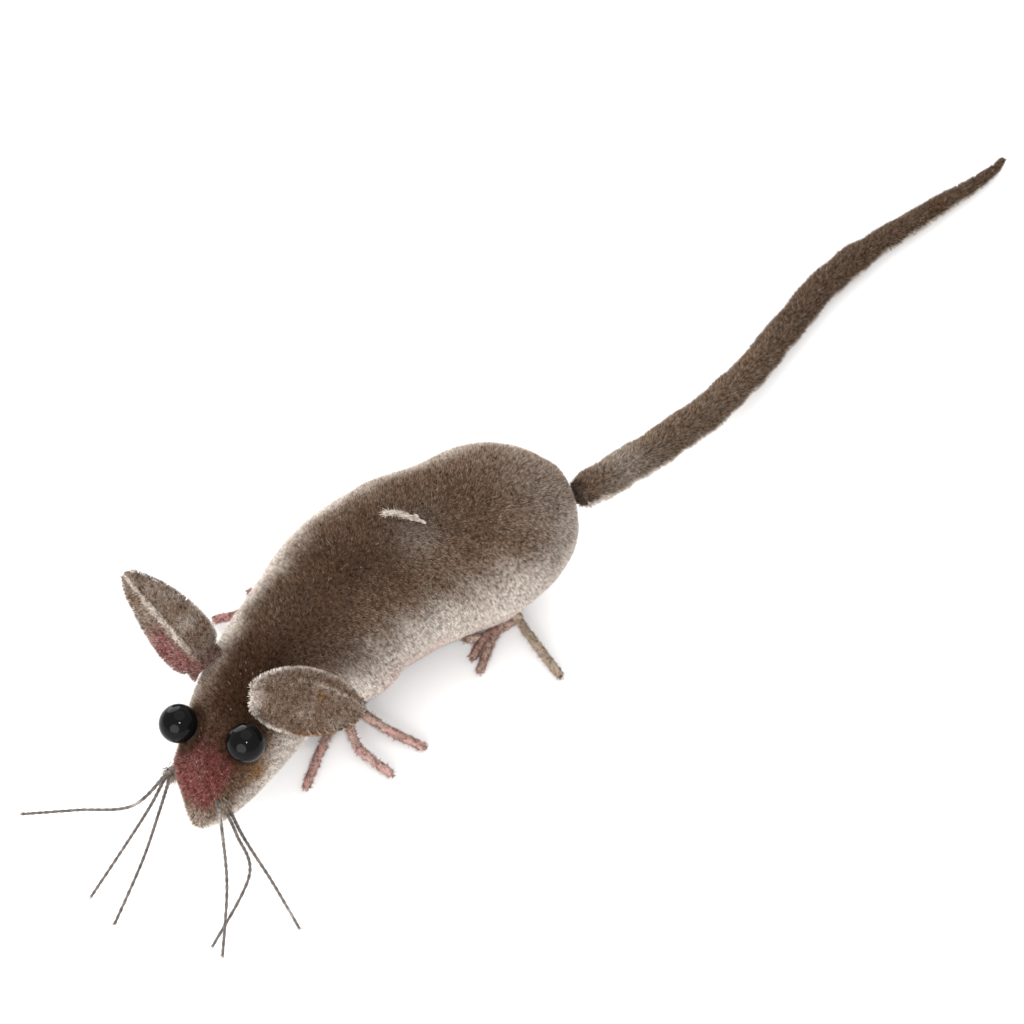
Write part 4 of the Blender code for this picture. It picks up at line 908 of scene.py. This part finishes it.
def tail_zones(normals, share, points):
    drift = 0.16 * waves(points, 6 * MM, 41)
    low = normals @ unit(np.array((0.50, -0.10, -0.62))) + drift * 0.7
    pale = np.maximum(ramp(low, 0.42, 0.86), 0.30 * ramp(share, 0.06, 0.16) * ramp(share, 0.26, 0.14))
    # Painted shade where the root meets the rump; beyond it the tail's own pile darkens towards the tip.
    dark = np.maximum(0.55 * ramp(share, 0.05, 0.0), 0.16 + 0.36 * ramp(share, 0.35, 0.6)) * (1 - pale)
    stain = 0.25 * np.clip(waves(points, 11 * MM, 43) - 0.9, 0, 1)
    return zone_rows(len(points), pale, 0.0, dark, stain)


def tail_lumps(share, turn):
    knot = 0.45 * np.exp(-(((share - 0.655) / 0.016) ** 2)) * np.clip(np.cos(turn - TAIL_KNOT), 0, 1)
    return 1 + 0.05 * np.sin(share * 61 + turn) + 0.04 * np.sin(share * 137 - 2 * turn) + knot


def tail():
    """The tail's plush with its pile, and hairs on the blunt end at the rump."""
    steps, sides = 240, 40
    frames = tube_frames(*tail_route(), steps)
    mesh = grid_mesh("tail_plush", tube_grid(frames, sides, tail_lumps))
    made = new_object("tail_plush", mesh, PLUSH, "body")
    points = mesh_points(mesh)
    normals = unit(points - np.repeat(frames[0], sides, axis=0))
    cloth_layers(mesh, tail_zones(normals, np.repeat(np.linspace(0, 1, steps + 1), sides), points))
    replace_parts(made, "tail_cover")
    roots, normals, ahead, share = tube_scatter(frames, TAIL_PILE_PER_MM2, tail_lumps)
    zones = tail_zones(normals, share, roots)
    ways = unit(normals * 0.80 + ahead * 0.55 + rng.normal(size=normals.shape) * 0.30)
    lengths = TAIL_PILE * rng.uniform(0.7, 1.15, len(roots)) * (1 - 0.45 * ramp(share, 0.75, 1.0))
    end, end_normals, end_zones = tail_end(frames)
    roots = np.concatenate([end, roots])
    ways = np.concatenate([unit(end_normals + rng.normal(size=end.shape) * 0.35), ways])
    normals = np.concatenate([end_normals, normals])
    lengths = np.concatenate([np.full(len(end), 0.8 * TAIL_PILE), lengths])
    zones = np.concatenate([end_zones, zones])
    roots[:, 2] = np.maximum(roots[:, 2], 0.3 * MM)
    pile_pieces("pile_tail_", ("root", "tip"), roots, ways, normals, lengths, PILE_R, zones, PLUSH)


def tail_end(frames):
    """Roots, normals and zones of the hairs on the tail's blunt end at the rump."""
    centres, widths, ahead, side, up = frames
    count = 650
    turn = rng.random(count) * 2 * math.pi
    reach = widths[0] * np.sqrt(rng.random(count))
    roots = centres[0] + side[0] * (np.cos(turn) * reach)[:, None] + up[0] * (np.sin(turn) * reach)[:, None]
    # Painted shade on the blunt end, which is turned against the rump.
    return roots, np.repeat(-ahead[:1], count, axis=0), zone_rows(count, pale=0.1, dark=0.35)


# ---- ears

EARS = {
    "left": ((0.836, 76.0), (0.93, -0.26, 0.06), (0.0, 0.80, -0.60), 0.55, 0.45),
    "right": ((0.800, 139.0), (-0.88, -0.34, 0.21), (-0.25, 0.85, -0.45), 0.95, 0.20),
}


def ear_axes(side):
    (place, angle), point_way, width_way, cup, base = EARS[side]
    _, _, forward, left, up = (v[0] for v in body_frame(np.array([place])))
    point, normal = one(place, angle)
    root = point + normal * (GAP + EAR_SHEET * 1.2)
    axis = unit(left * point_way[0] + forward * point_way[1] + up * point_way[2])
    wide = left * width_way[0] + forward * width_way[1] + up * width_way[2]
    wide = unit(wide - axis * np.dot(wide, axis))
    thick = unit(np.cross(axis, wide))
    if thick[2] < 0:
        thick = -thick
    return root, axis, wide, thick, cup, base


EAR_CORE = EAR_SHEET / 2 - 0.42 * MM   # half the cloth's thickness, under the pile
EAR_PILE = 0.62 * MM
EAR_HAIRS = 15000
EAR_FOLD = 0.08           # where the right ear's crease runs, across it
EAR_STARTS = {"left": 0.015, "right": -0.11}   # the right ear's root is sewn into the head


def ear_width(share, base):
    """Half width of the ear's outline as a share of its widest."""
    widest = base / (base + 0.62)
    return share ** base * (1 - share) ** 0.62 / (widest ** base * (1 - widest) ** 0.62)


def ear_middle(side, share, across):
    """Point of the ear's middle layer; share runs from root to tip, across from -1 to 1."""
    root, axis, wide, thick, cup, base = ear_axes(side)
    half = EAR_WIDTH / 2 * ear_width(np.maximum(share, 0.015), base)
    bend = cup * across
    ripple = 0.35 * MM * np.sin(share * 7.0 + across * 2.0) * np.abs(across)
    if side == "right":
        ridge = np.exp(-(((across - EAR_FOLD) / 0.10) ** 2))
        ripple = ripple + (1.1 * ramp(across, EAR_FOLD, EAR_FOLD + 0.30) - 0.55 * ridge) * MM * np.sin(math.pi * share)
    points = root + axis[None] * (EAR_LENGTH * share)[:, None]
    points = points + wide[None] * (half * np.sin(bend) / cup)[:, None]
    return points - thick[None] * (half * (1 - np.cos(bend)) / cup + ripple)[:, None]


def ear_normals(side, share, across):
    step = 0.01
    high = np.clip(share + step, 0.01, 0.99)
    low = np.clip(share - step, 0.01, 0.99)
    along = ear_middle(side, high, across) - ear_middle(side, low, across)
    over = ear_middle(side, share, across + step) - ear_middle(side, share, across - step)
    out = unit(np.cross(along, over))
    thick = ear_axes(side)[3]
    out[out @ thick < 0] *= -1
    return out


def left_ear_zones(share, across):
    """Pale rims, the glued lower edge and its stain."""
    rim = np.maximum(ramp(np.abs(across), 0.86, 1.0), ramp(share, 0.07, 0.02))
    glued = ramp(across, 0.84, 0.97) * ramp(share, 0.25, 0.5)
    front = ramp(share, 0.16, 0.03) + ramp(np.abs(across), 0.82, 1.0) * ramp(share, 0.45, 0.25)
    line = np.exp(-(((across + 0.62 - 0.3 * (share - 0.5)) / 0.07) ** 2)) * ramp(share, 0.35, 0.55)
    pale = 0.04 + 0.60 * np.clip(front, 0, 1) + 0.28 * rim * (1 - glued) + 0.35 * line
    spot = np.exp(-(((share - 0.62) / 0.045) ** 2 + ((across + 0.30) / 0.16) ** 2))
    return pale, 0.0, 0.12 + 0.30 * glued, np.maximum(0.60 * glued, 0.75 * spot)


def right_ear_zones(share, across, upper, points):
    """Pale rim and crease, the pink hollow before the crease, and painted shade beside the crease and at the root."""
    rim = ramp(np.abs(across), 0.86, 1.0)
    before = across - EAR_FOLD
    hollow = np.where(upper, ramp(before, 0.06, 0.16), 0.8)
    crease = np.exp(-((before / 0.042) ** 2)) * ramp(share, 0.02, 0.15)
    base = ramp(share, 0.58, 0.34)
    pale = 0.10 + np.where(upper, 0.85 * crease, 0) + 0.35 * rim * (1 - base * hollow)
    # Painted shade: a dark band beside the crease and near the root, where it is sewn into the head; darker towards
    # the far edge too.
    dark = 0.35 * np.exp(-(((before + 0.13) / 0.06) ** 2)) + 0.25 * ramp(across, -0.85, -1.0)
    dark = np.maximum(dark, 0.55 * ramp(share, 0.22, 0.0) * ramp(before, 0.0, -0.1))
    stain = 0.5 * hollow * ramp(share, 0.5, 0.8) * np.clip(waves(points, 2.4 * MM, 53), 0, 1)
    return pale, 0.95 * base * hollow * ramp(across, 1.02, 0.90), dark, stain


def ear_zones(side, share, across, upper, points):
    if side == "left":
        pale, pink, dark, stain = left_ear_zones(share, across)
    else:
        pale, pink, dark, stain = right_ear_zones(share, across, upper, points)
    pale = pale + 0.10 * waves(points, 5 * MM, 51)
    return np.clip(zone_rows(len(points), pale, pink, dark, stain), 0, 1)


def ear_cloth(side):
    """Two layers of velvet sewn at the rim."""
    rows, columns = 56, 26
    start = EAR_STARTS[side]
    across = np.linspace(-1, 1, columns)
    grid = []
    marks = []
    for share in start + (0.985 - start) * (0.5 - 0.5 * np.cos(np.linspace(0, math.pi, rows))):
        where = np.full(columns, share)
        middle = ear_middle(side, where, across)
        out = ear_normals(side, where, across)
        edge = EAR_CORE * np.sqrt(np.clip(1 - np.abs(across) ** 6, 0.10, 1))[:, None]
        grid.append(np.concatenate([middle + out * edge, (middle - out * edge)[::-1]]))
        marks += [(share, a, 1) for a in across] + [(share, a, 0) for a in across[::-1]]
    mesh = grid_mesh("ear_cloth_" + side, np.array(grid))
    made = new_object("ear_cloth_" + side, mesh, EAR_VELVET, "body")
    marks = np.array(marks)
    cloth_layers(mesh, ear_zones(side, marks[:, 0], marks[:, 1], marks[:, 2] > 0.5, mesh_points(mesh)))
    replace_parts(made, "ear_" + side)


def ear_pile(side):
    """Hairs on both faces of the ear and over its rim."""
    share = rng.uniform(EAR_STARTS[side], 0.988, EAR_HAIRS * 2)
    width = ear_width(np.maximum(share, 0.015), EARS[side][4])
    share = share[rng.random(EAR_HAIRS * 2) < width][:EAR_HAIRS]
    count = len(share)
    across = rng.uniform(-1, 1, count)
    edge = rng.random(count) < 0.14
    across[edge] = np.sign(across[edge]) * rng.uniform(0.96, 1.0, edge.sum())
    upper = rng.random(count) < 0.5
    order = np.argsort(share)
    share, across, upper = share[order], across[order], upper[order]
    middle = ear_middle(side, share, across)
    out = ear_normals(side, share, across)
    _, axis, wide = ear_axes(side)[:3]
    normals = np.where(upper[:, None], out, -out)
    outward = wide[None] * np.sign(across)[:, None] * ramp(np.abs(across), 0.9, 1.0)[:, None]
    root_end = ramp(share, 0.07, 0.0) if side == "left" else 0 * share
    ends = axis[None] * (ramp(share, 0.93, 1.0) - root_end)[:, None]
    roots = middle + normals * EAR_CORE * 0.9
    ways = unit(normals * 0.75 + axis * 0.25 + outward * 1.5 + ends * 1.2 + rng.normal(size=normals.shape) * 0.28)
    lengths = EAR_PILE * rng.uniform(0.7, 1.15, count)
    zones = ear_zones(side, share, across, upper, middle)
    pile_pieces("pile_ear_", (side,), roots, ways, normals, lengths, PILE_R * 0.9, zones, EAR_VELVET)


def ear_stitches():
    """Whipped stitches over the lower edge of the left ear, where it was glued and sewn."""
    reach = EAR_SHEET / 2 + 0.12 * MM
    meshes = []
    for share in np.linspace(0.55, 0.90, 6):
        rim = ear_middle("left", np.array([share]), np.array([1.0]))[0]
        inner = ear_middle("left", np.array([share - 0.03]), np.array([0.80]))[0]
        out = ear_normals("left", np.array([share]), np.array([0.9]))[0] * reach
        route = [inner + out * 0.4, inner + out, rim + out * 0.8, rim - out * 0.8, inner - out]
        meshes.append(grid_mesh("stitch", tube_grid(tube_frames(route, [0.11 * MM] * 5, 16), 7)))
    new_object("ear_stitches", joined("ear_stitches", meshes), STITCH_THREAD, "body")


# ---- eyes

def bead(side):
    low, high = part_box("eye_wire_" + side)
    out = unit(EYES[side] - np.array((low + high) / 2))
    mesh = ball_mesh("bead_" + side, EYES[side], EYE_R, 64, 40, out, 0.97)
    made = new_object("bead_" + side, mesh, GLASS, "body")
    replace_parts(made, "eye_" + side)


# ---- whiskers

WHISKER_ROOTS = {"left": (0.953, 42.0, 12.0), "right": (0.940, 162.0, -12.0)}
WHISKERS = {
    "left": (
        ((4.5, -1.0, -1.0), (12.0, -3.2, -4.5), (20.2, -7.3, -10.1)),
        ((4.5, 0.3, -1.5), (10.1, 0.1, -5.1), (16.4, -8.7, -11.1)),
        ((5.0, 0.4, -1.2), (12.2, 2.2, -4.6), (19.0, 3.9, -9.1)),
    ),
    "right": (
        ((2.2, -6.9, -2.4), (-1.6, -15.0, -4.0), (-5.2, -22.9, -5.4)),
        ((3.6, -4.4, -2.0), (7.4, -10.5, -5.2), (11.3, -17.6, -9.4)),
        ((4.2, -3.6, -2.2), (10.0, -8.8, -5.6), (16.8, -16.2, -9.9)),
    ),
}


def whisker_plies(share, turn):
    twist = share * 2 * math.pi * 16
    return 1 + 0.14 * np.cos(2 * (turn - twist)) + 0.05 * np.sin(share * 211)


def whisker(side, number, stops):
    """Two-ply waxed thread with a frayed end and fluff caught near its root."""
    place, angle, fan = WHISKER_ROOTS[side]
    point, normal = one(place, angle + (1 - number) * fan)
    root = point + normal * (GAP + WHISKER_R)
    route = [root - normal * 1.1 * MM, root]
    for step in stops:
        spot = root + np.array(step) * MM
        spot[2] = max(spot[2], TOE_FLOOR + WHISKER_R)
        route.append(spot)
    frames = tube_frames(route, [WHISKER_R * w for w in (0.8, 0.95, 0.86, 0.80, 0.78)], 150)
    last = f"{side}_{number + 1}"
    mesh = grid_mesh("whisker_thread_" + last, tube_grid(frames, 12, whisker_plies))
    made = new_object("whisker_thread_" + last, mesh, WHISKER_THREAD, "body")
    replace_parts(made, "whisker_" + last)
    centres, _, ahead, _, _ = frames
    fray, fluff = 26, 34
    roots = np.concatenate([np.repeat(centres[-3:-2], fray, axis=0), centres[rng.integers(4, 46, fluff)]])
    ways = np.concatenate([np.repeat(ahead[-1:], fray, axis=0), ahead[rng.integers(4, 46, fluff)]])
    roots = roots + rng.normal(size=roots.shape) * 0.08 * MM
    roots[:, 2] = np.maximum(roots[:, 2], 0.12 * MM)
    ways = unit(ways + rng.normal(size=ways.shape) * 0.30)
    ways[:, 2] = np.maximum(ways[:, 2], -0.15)
    ways = unit(ways)
    lengths = rng.uniform(0.5, 1.1, len(roots)) * MM
    zones = zone_rows(len(roots), pale=0.45)
    pile_pieces("fray_", (last,), roots, ways, ways, lengths, LOOSE_R, zones, VELVET)


def whisker_tuft(side):
    """Fuzz pulled out of the muzzle where the threads come through."""
    place, angle, _ = WHISKER_ROOTS[side]
    point, normal = one(place, angle)
    first = unit(np.array(WHISKERS[side][1][0]))
    count = 520
    roots = point - normal * 0.35 * MM + rng.normal(size=(count, 3)) * 0.45 * MM
    ways = unit(normal * 0.35 + first * 0.9 + rng.normal(size=(count, 3)) * 0.28)
    lengths = rng.uniform(0.8, 1.9, count) * MM
    zones = zone_rows(count, pale=rng.uniform(0.0, 0.55, count), dark=0.25)
    normals = unit(np.repeat(normal[None], count, axis=0) + (roots - point) / (1.2 * MM) * 0.5)
    pile_pieces("tuft_", ("muzzle_" + side,), roots, ways, normals, lengths, 0.07 * MM, zones, VELVET)


# ---- feet

# Ankle place and angle, then for each toe its bend and tip as steps of (X, Y) in millimetres and
# its tint as shares of pale and pink.
FEET = {
    "front_left": (
        (0.625, -66.0),
        (
            ((6.0, -6.2), (12.9, -12.2), (0.38, 0.72)),
            ((8.4, -1.8), (15.9, 1.4), (0.42, 0.62)),
            ((6.6, 3.2), (12.9, 8.3), (0.36, 0.58)),
        ),
    ),
    "front_right": (
        (0.560, -140.0),
        (
            ((-3.4, -5.2), (-6.4, -10.4), (0.20, 0.90)),
            ((-5.0, -1.6), (-9.6, -3.0), (0.20, 0.90)),
            ((-4.2, 2.4), (-8.4, 5.4), (0.20, 0.90)),
        ),
    ),
    "rear_left": (
        (0.190, -62.0),
        (
            ((7.0, 0.9), (13.6, 1.9), (0.10, 0.06)),
            ((1.4, -4.6), (7.6, -9.9), (0.12, 0.62)),
            ((1.6, -6.2), (4.6, -10.0), (0.05, 0.90)),
            ((1.4, -5.8), (0.6, -9.4), (0.40, 0.60)),
        ),
    ),
    "rear_right": (
        (0.190, -118.0),
        (
            ((-6.4, 0.8), (-12.4, 2.4), (0.20, 0.75)),
            ((-4.6, -3.8), (-9.6, -7.6), (0.20, 0.80)),
            ((-1.0, -5.4), (-3.4, -10.4), (0.20, 0.80)),
        ),
    ),
}
FLOCK_LENGTH = 0.42 * MM
FLOCK_PER_MM2 = 34.0


def toe_mesh_and_hairs(number, root, bend, tip, tint):
    """One toe's wire, and the roots, normals and zones of its flock."""
    core = TOE_R - FLOCK_LENGTH * 0.8
    rest = TOE_FLOOR + TOE_R
    route = [root]
    for (x, y), height in ((bend, (root[2] + rest) / 2), (tip, rest)):
        route.append((root[0] + x * MM, root[1] + y * MM, height))
    phase = number * 1.7

    def worn(share, turn):
        knobs = 0.09 * np.sin(share * 31 + turn + phase) + 0.08 * np.sin(share * 77 - turn)
        return 1 + knobs + 0.05 * np.sin(share * 143 + 3 * turn + phase)

    frames = tube_frames(route, [core * 0.9, core, core * 0.92], 40)
    mesh = grid_mesh("toe", tube_grid(frames, 18, worn))
    roots, out, _, share = tube_scatter(frames, FLOCK_PER_MM2, worn)
    ends = 90
    cap = np.repeat(frames[0][-1:], ends, axis=0) + rng.normal(size=(ends, 3)) * core * 0.45
    cap_out = unit(np.repeat(frames[2][-1:], ends, axis=0) + rng.normal(size=(ends, 3)) * 0.5)
    roots = np.concatenate([roots, cap])
    out = np.concatenate([out, cap_out])
    share = np.concatenate([share, np.ones(ends)])
    pale, pink = tint
    lit = np.clip(out[:, 1] * 0.6 - out[:, 2] * 0.2, -0.3, 1)
    pale = np.clip(pale + 0.45 * lit + 0.20 * waves(roots, 3 * MM, 61 + number), 0, 1)
    pink = np.clip(pink + 0.22 * waves(roots, 4 * MM, 71 + number) + 0.25 * (share - 0.5), 0, 1)
    stain = 0.3 * np.clip(waves(roots, 5 * MM, 81) - 0.7, 0, 1)
    return mesh, (roots, out, zone_rows(len(roots), pale, pink, 0.0, stain))


def foot(name, ankle, toes):
    """Flocked wires twisted together at the ankle and fanned out as toes."""
    point, normal = one(*ankle)
    root = point + normal * (GAP + ANKLE_R)
    root[2] = max(root[2], TOE_FLOOR + ANKLE_R)
    made_toes = [toe_mesh_and_hairs(number, root, *toe) for number, toe in enumerate(toes)]
    bud = ball_mesh("bud", root, ANKLE_R * 0.85, 24, 14)
    mesh = joined("toes_" + name, [made[0] for made in made_toes] + [bud])
    made = new_object("toes_" + name, mesh, FLOCK, "body")
    cloth_layers(mesh, zone_rows(len(mesh.vertices), *toes[0][2]))
    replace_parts(made, "foot_" + name)
    roots, out, zones = (np.concatenate(rows) for rows in zip(*(made[1] for made in made_toes)))
    ways = unit(out * 0.85 + rng.normal(size=out.shape) * 0.50)
    lengths = FLOCK_LENGTH * rng.uniform(0.5, 1.1, len(roots))
    lengths[rng.random(len(roots)) < 0.10] *= 2.0
    low = roots[:, 2] + ways[:, 2] * lengths < 0.05 * MM
    ways[low, 2] = np.abs(ways[low, 2])
    pile_pieces("flock_", (name,), roots, unit(ways), out, lengths, PILE_R, zones, FLOCK)


# ---- back stitch

# Steps in millimetres from where the thread comes through.
SEAM_ENDS = ((1.3, 1.6, -0.5), (0.6, 0.6, 0.05), (0.0, 0.0, 0.0), (-1.2, -2.2, 1.0), (-1.5, -4.0, 1.6))
SEAM_LOOP = ((-0.5, 0.3, 0.1), (0.1, 0.6, 0.35), (0.5, 0.0, 0.45), (0.1, -0.5, 0.3), (-0.4, 0.0, 0.2))


def seam_knot():
    """Knot and frayed ends of the thread that closes the back."""
    root = TUFT_ROOT + TUFT_OUT * 0.55 * MM

    def plies(share, turn):
        return 1 + 0.22 * np.cos(2 * turn - share * 44)

    frames, knot = (
        tube_frames([root + np.array(step) * MM for step in route], [w * MM for w in widths], steps)
        for route, widths, steps in (
            (SEAM_ENDS, (0.20, 0.30, 0.34, 0.40, 0.26), 70),
            (SEAM_LOOP, (0.26,) * 5, 30),
        )
    )
    meshes = [grid_mesh("ply", tube_grid(frames, 12, plies)), grid_mesh("ply", tube_grid(knot, 10, plies))]
    made = new_object("seam_knot", joined("seam_knot", meshes), SEAM_THREAD, "body")
    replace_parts(made, "stitch_tuft")
    centres, _, ahead, _, _ = frames
    count = 420
    pick = rng.integers(40, 70, count)
    roots = centres[pick] + rng.normal(size=(count, 3)) * 0.16 * MM
    ways = unit(ahead[pick] + rng.normal(size=(count, 3)) * 0.42)
    lengths = rng.uniform(0.5, 1.5, count) * MM
    zones = zone_rows(count, pale=1.0)
    pile_pieces("fray_", ("seam_knot",), roots, ways, ways, lengths, LOOSE_R, zones, VELVET)


# ---- metal pieces

def turned_mesh(name, profile, sides, centre):
    """Ring turned about world X: a closed profile of (radius, x) points."""
    turn = np.arange(sides) * 2 * math.pi / sides
    rings = []
    for radius, x in [*profile, profile[0]]:
        rings.append(np.stack([np.full(sides, centre[0] + x), centre[1] + radius * np.cos(turn),
                               centre[2] + radius * np.sin(turn)], axis=1))
    mesh = settled(grid_mesh(name, np.array(rings), closed=False), weld=1e-7)
    mesh.set_sharp_from_angle(angle=math.radians(38))
    return mesh


def rounded(points, radius, steps=4):
    """Closed outline with its corners rounded."""
    made = []
    count = len(points)
    for i in range(count):
        before, here, after = (np.array(points[(i + d) % count], float) for d in (-1, 0, 1))
        back = before - here
        ahead = after - here
        reach = min(radius, np.linalg.norm(back) * 0.45, np.linalg.norm(ahead) * 0.45)
        start = here + back / np.linalg.norm(back) * reach
        end = here + ahead / np.linalg.norm(ahead) * reach
        for k in range(steps + 1):
            t = k / steps
            made.append(tuple((1 - t) ** 2 * start + 2 * t * (1 - t) * here + t ** 2 * end))
    return made


def dished(bore, rim, low_x, high_x, hub, lip, dish):
    """Outline of a wheel whose faces are sunk between its hub and its rim."""
    slope = 0.2 * MM
    face = [(bore, 0.0), (bore + hub, 0.0), (bore + hub + slope, dish), (rim - lip - slope, dish), (rim - lip, 0.0),
            (rim, 0.0)]
    return [(r, low_x + x) for r, x in face] + [(r, high_x - x) for r, x in reversed(face)]


def grooved(inner, outer, low_x, high_x):
    """Outline of a tyre with a groove round its tread."""
    groove = 0.16 * MM
    tread = ((0.0, 0), (0.22, 0), (0.30, 1), (0.46, 1), (0.54, 1), (0.70, 1), (0.78, 0), (1.0, 0))
    marks = [(outer - groove * sunk_in, low_x + (high_x - low_x) * share) for share, sunk_in in tread]
    return [(inner, low_x), *marks, (inner, high_x)]


def turned_piece(name, cad_node, profile, corner, sides, centre, finish, body):
    mesh = turned_mesh(name, rounded(profile, corner), sides, centre)
    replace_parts(new_object(name, mesh, finish, body), cad_node)


def wheel_pieces():
    """Brass hubs with a dished face, grooved rubber tyres, and the front wheel."""
    def centre_and_rim(low, high):
        return (0.0, (low.y + high.y) / 2, (low.z + high.z) / 2), (high.z - low.z) / 2

    for side in ("left", "right"):
        low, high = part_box("drive_wheel_" + side)
        centre, rim = centre_and_rim(low, high)
        profile = dished(AXLE_BORE, rim, low.x, high.x, 0.9 * MM, 0.5 * MM, 0.45 * MM)
        turned_piece("hub_" + side, "drive_wheel_" + side, profile, 0.12 * MM, 72, centre, BRASS, "drive_wheels")
        low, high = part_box("drive_tyre_" + side)
        profile = grooved(rim + 0.05 * MM, (high.z - low.z) / 2, low.x, high.x)
        turned_piece("tyre_" + side, "drive_tyre_" + side, profile, 0.22 * MM, 72, centre, RUBBER, "drive_wheels")
    low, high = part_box("front_wheel")
    centre, rim = centre_and_rim(low, high)
    profile = dished(0.62 * MM, rim, low.x, high.x, 0.8 * MM, 0.6 * MM, 0.4 * MM)
    turned_piece("steering_wheel", "front_wheel", profile, 0.2 * MM, 64, centre, BRASS, "front")


def key():
    """Brass key: a collared sleeve and a flat two-lobed bow with a hole in each lobe."""
    low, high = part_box("winding_key")
    centre_y = (low.y + high.y) / 2
    centre_z = (low.z + high.z) / 2
    span = (high.y - low.y) / 2
    reach = KEY_DEPTH / 2
    count = 120
    turn = np.arange(count) * 2 * math.pi / count
    waist = 0.50 + 0.50 * np.abs(np.cos(turn)) ** 0.8
    across = span * waist * np.cos(turn)
    out = waist * np.sin(turn) / np.max(waist * np.sin(turn)) * reach
    half = 0.45 * MM
    edge = 0.14 * MM
    rings = []
    for height, pull in ((-half, 0.972), (-half + edge, 1.0), (half - edge, 1.0), (half, 0.972)):
        rings.append(np.stack([out * pull + low.x + reach, across * pull + centre_y,
                               np.full(count, centre_z + height)], axis=1))
    made = new_object("key_bow", grid_mesh("key_bow", np.array(rings)), BRASS, "winding")
    for way in (-1, 1):
        middle = (low.x + reach, centre_y + way * span * 0.62)
        carve(made, round_bar((*middle, centre_z - 2 * MM), (*middle, centre_z + 2 * MM), 1.05 * MM, 40))
    stem = 1.3 * MM
    neck = stem - 0.12 * MM
    first = low.x + KEY_DEPTH - 0.5 * MM
    profile = [(AXLE_BORE, first), (stem, first), (stem, high.x - 1.0 * MM), (neck, high.x - 0.8 * MM),
               (neck, high.x), (AXLE_BORE, high.x)]
    carve(made, turned_mesh("sleeve", rounded(profile, 0.1 * MM), 48, (0.0, centre_y, centre_z)), "UNION")
    made.data.materials.clear()
    made.data.materials.append(BRASS)
    made.data.shade_smooth()
    made.data.set_sharp_from_angle(angle=math.radians(35))
    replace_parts(made, "winding_key")


CAD_FINISHES = {
    "base_plate": TINPLATE,
    "side_plate_left": TINPLATE,
    "side_plate_right": TINPLATE,
    "front_bracket_left": TINPLATE,
    "front_bracket_right": TINPLATE,
    "great_wheel": BRASS,
    "intermediate_wheel": BRASS,
    "mainspring": BLUED,
    "click_spring": BLUED,
}


def cad_finishes():
    """Materials for the CAD pieces that stay, and eased edges on the pressed sheet."""
    for name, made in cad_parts.items():
        if made.hide_render:
            continue
        finish = CAD_FINISHES.get(name, STEEL)
        made.data.materials.clear()
        made.data.materials.append(finish)
        if finish is TINPLATE:
            ease = made.modifiers.new("ease", "BEVEL")
            ease.width = 0.08 * MM
            ease.segments = 2
            ease.limit_method = "ANGLE"
            ease.angle_limit = math.radians(40)


# ---- stage

FLOOR_REACH = 3.0


def turned_to_aim(made, way, distance):
    """Stands a lamp or camera off along a way from the point it looks at."""
    made.location = AIM + way * distance
    made.rotation_mode = "QUATERNION"
    made.rotation_quaternion = way.to_track_quat("Z", "Y")


def area_light(name, place, size, power):
    lamp = bpy.data.lights.new(name, "AREA")
    lamp.shape = "DISK"
    lamp.size = size
    lamp.energy = power
    turned_to_aim(linked(bpy.data.objects.new(name, lamp)), Vector(place), 1.0)


def stage():
    """Pale floor, soft studio light and the camera."""
    floor_mesh = bpy.data.meshes.new("floor")
    corners = [(x * FLOOR_REACH, y * FLOOR_REACH, 0) for x, y in ((-1, -1), (1, -1), (1, 1), (-1, 1))]
    floor_mesh.from_pydata(corners, [], [(0, 1, 2, 3)])
    paper = Look("paper", 0.9)
    paper.shade("Base Color", (0.86, 0.86, 0.86))
    floor_mesh.materials.append(paper.material)
    linked(bpy.data.objects.new("floor", floor_mesh))
    azimuth, elevation = math.radians(AZIMUTH), math.radians(ELEVATION)
    back = Vector((
        math.sin(azimuth) * math.cos(elevation), -math.cos(azimuth) * math.cos(elevation), math.sin(elevation)
    ))
    right = Vector((math.cos(azimuth), math.sin(azimuth), 0))
    lens = bpy.data.cameras.new("camera")
    lens.lens = FOCAL_MM
    lens.sensor_width = 36.0
    lens.clip_start = 0.01
    camera = linked(bpy.data.objects.new("camera", lens))
    turned_to_aim(camera, back, DISTANCE)
    bpy.context.scene.camera = camera
    area_light("overhead", (-0.10, 0.10, 0.75), 0.90, 2.2)
    area_light("front_small", back * 0.75 + right * 0.10 + Vector((0, 0, 0.10)), 0.07, 2.1)
    area_light("near_side", (0.45, -0.45, 0.20), 0.60, 5.0)
    area_light("far_side", (-0.60, -0.05, 0.25), 0.60, 3.8)
    world = bpy.data.worlds.new("studio")
    bpy.context.scene.world = world
    world.use_nodes = True
    background = world.node_tree.nodes["Background"]
    background.inputs["Color"].default_value = (1.0, 1.0, 1.0, 1.0)
    background.inputs["Strength"].default_value = 0.85
    bpy.context.scene.view_settings.view_transform = "Standard"


# ---- assembly

velvet_skin()
body_pile()
wadding("wadding_body", "body_stuffing")
wadding("wadding_head", "head_stuffing")
tail()
for side in ("left", "right"):
    ear_cloth(side)
    ear_pile(side)
    bead(side)
    whisker_tuft(side)
    for number, stops in enumerate(WHISKERS[side]):
        whisker(side, number, stops)
ear_stitches()
for name, (ankle, toes) in FEET.items():
    foot(name, ankle, toes)
seam_knot()
wheel_pieces()
key()
cad_finishes()
stage()
